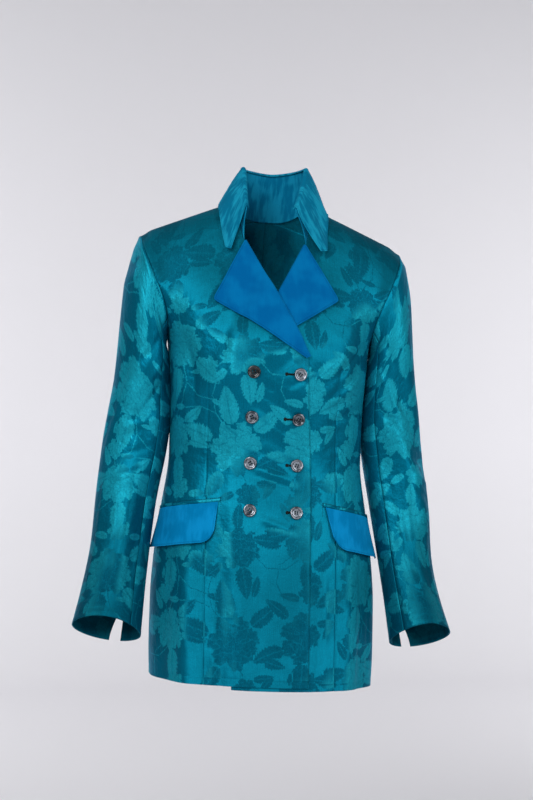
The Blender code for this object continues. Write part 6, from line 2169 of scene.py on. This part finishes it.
def fall_edge():
    """The line just inside the edge of the fall: down one end, along the free edge, up the other."""
    leaf = FALL_LEAF
    across = np.cumsum(np.linalg.norm(np.diff(leaf, axis=1), axis=2), axis=1)
    back = np.cumsum(np.linalg.norm(np.diff(leaf[:, ::-1], axis=1), axis=2), axis=1)
    down = np.cumsum(np.linalg.norm(np.diff(leaf[::-1], axis=0), axis=2), axis=0)
    first, last, low = [], [], []
    for i in range(3, len(leaf) - 4):
        first.append(leaf[i, 1 + int(np.searchsorted(across[i], FALL_INSET))])
        last.append(leaf[i, -2 - int(np.searchsorted(back[i], FALL_INSET))])
    for j in range(2, leaf.shape[1] - 2):
        low.append(leaf[-2 - int(np.searchsorted(down[:, j], FALL_INSET)), j])
    return inset_line(FALL, stand_in_pose(np.array(first + low + last[::-1])))


VELVET_STITCHES = {side: sew(f"velvet_stitches_{side}", [flap_edge(side), lapel_edge(side)], "blue thread",
                             spacing=0.0034, along=0.0013, across=0.0004, height=0.0004) for side in SIDES}
COLLAR_STITCHES = sew("velvet_stitches_collar", [fall_edge()], "blue thread",
                      spacing=0.0034, along=0.0013, across=0.0004, height=0.0004)


# %% [markdown]
# ## Thread in the buttons
# Two bars of thread cross the face of each button from hole to hole. Each bar is a short arch that
# dips into both holes.

# %% Button threads
BAR_RISE = 0.0005
BAR_DIP = 0.0008
BAR_RADIUS = 0.00042


def arch_points(seat, angle):
    holes = (angle, angle + math.pi / 2)
    ends = [Vector((HOLE_PLACE * math.cos(a), HOLE_PLACE * math.sin(a), 0.0)) for a in holes]
    face = BUTTON_DEPTH * 0.50
    line = []
    for u in np.linspace(0.0, 1.0, 9):
        flat = ends[0].lerp(ends[1], float(u))
        arch = math.sin(math.pi * float(u))
        flat.z = face + BAR_RISE * arch**0.5 - BAR_DIP * (1.0 - arch)
        line.append(seat @ flat)
    return line


def thread_bars():
    curve = bpy.data.curves.new("button_threads", "CURVE")
    curve.dimensions = "3D"
    curve.bevel_depth = BAR_RADIUS
    curve.bevel_resolution = 3
    curve.use_fill_caps = True
    for seat in SEATS.values():
        for angle in (math.pi / 4, math.pi * 5 / 4):
            points = arch_points(seat, angle)
            spline = curve.splines.new("POLY")
            spline.points.add(len(points) - 1)
            for knot, spot in zip(spline.points, points):
                knot.co = (*spot, 1.0)
    data = plain_mesh(add_object("button_threads", curve))
    data.shade_smooth()
    data.materials.clear()
    data.materials.append(FINISH["buttonhole thread"])
    return add_object("button_threads", data)


BARS = thread_bars()
print("button thread faces:", len(BARS.data.polygons))

# %% [markdown]
# ## Light and ground
# A pale sweep of paper lies under the jacket and rises behind it, far enough away to leave room for
# a view from the back. Six large soft lights give the satin broad shapes to reflect. The key light
# is high and in front, which makes the leaning parts of the cloth shine, and the fill opens the
# shadows of the sleeves. Two lights stand behind the jacket and two light the paper. None of the
# lamps shows in the picture itself.

# %% The paper sweep
PAPER = (0.83, 0.82, 0.85, 1.0)
FLOOR = -1.42
WALL_Y = 5.0
COVE = 0.9


def paper_sweep():
    profile = [(-9.0, 0.0)]
    turn = np.linspace(0.0, math.pi / 2, 24)
    profile += [(WALL_Y - COVE + COVE * math.sin(a), COVE - COVE * math.cos(a)) for a in turn]
    profile += [(WALL_Y, 5.6)]
    points = []
    for x in (-7.0, 7.0):
        points += [(x, y, FLOOR + z) for y, z in profile]
    count = len(profile)
    faces = [(k, k + 1, count + k + 1, count + k) for k in range(count - 1)]
    data = bpy.data.meshes.new("paper_sweep")
    data.from_pydata(points, [], [face[::-1] for face in faces])
    data.shade_smooth()
    made, _, shader = new_finish("pale paper")
    shader.inputs["Base Color"].default_value = PAPER
    shader.inputs["Roughness"].default_value = 0.95
    data.materials.append(made)
    return add_object("paper_sweep", data)


paper_sweep()


# %% The lights
def soft_light(name, at, towards, size, power, colour=(1.0, 1.0, 1.0)):
    lamp = bpy.data.lights.new(name, "AREA")
    lamp.shape, lamp.size, lamp.size_y = "RECTANGLE", size[0], size[1]
    lamp.energy, lamp.color = power, colour
    thing = add_object(name, lamp)
    thing.location = at
    thing.rotation_euler = (Vector(towards) - Vector(at)).to_track_quat("-Z", "Y").to_euler()
    thing.visible_camera = False


soft_light("key", (-1.2, -2.3, 0.90), (0.0, 0.0, -0.28), (1.7, 1.4), 52.0)
soft_light("fill", (2.1, -2.4, 0.5), (0.0, 0.0, -0.35), (1.4, 2.0), 36.0)
soft_light("back_left", (-2.0, 1.0, 1.6), (0.0, 0.0, -0.3), (1.4, 1.4), 12.0)
soft_light("back_right", (2.2, 1.3, 1.2), (0.0, 0.0, -0.35), (1.4, 1.4), 6.0)
soft_light("paper", (3.2, 2.7, 0.1), (1.0, 5.0, -1.4), (1.8, 1.8), 40.0)
soft_light("paper_left", (-2.7, 2.7, 0.3), (-1.0, 5.0, -0.9), (1.8, 1.8), 50.0)
world = bpy.data.worlds.new("room")
world.use_nodes = True
world.node_tree.nodes["Background"].inputs[0].default_value = (0.90, 0.92, 0.96, 1.0)
world.node_tree.nodes["Background"].inputs[1].default_value = 0.25
bpy.context.scene.world = world
bpy.context.scene.view_settings.view_transform = "Standard"

# %% [markdown]
# ## What each piece stands for
# Every piece rides on the one rigid body of the jacket, and each cloth panel and button hides the
# solid part that it replaces.


def cloth(piece, node):
    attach(piece, "root")
    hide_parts(node)


for side in SIDES:
    cloth(FRONTS[side], "front_" + side)
    cloth(BACKS[side], "back_" + side)
    cloth(SLEEVES[side]["upper"], "sleeve_upper_" + side)
    cloth(SLEEVES[side]["under"], "sleeve_under_" + side)
    cloth(LAPELS[side], "lapel_" + side)
    cloth(FLAPS[side], "pocket_flap_" + side)
    cloth(WELTS[side], "pocket_welt_" + side)
cloth(STAND, "collar_stand")
cloth(FALL, "collar_fall")
for (column, number), piece in BUTTONS.items():
    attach(piece, "root")
    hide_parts(f"button_{column}_{number}")
for piece in (buttonhole_binding, buttonhole_slits, BARS, *WELT_STITCHES.values()):
    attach(piece, "root")
for piece in (*VELVET_STITCHES.values(), COLLAR_STITCHES):
    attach(piece, "root")
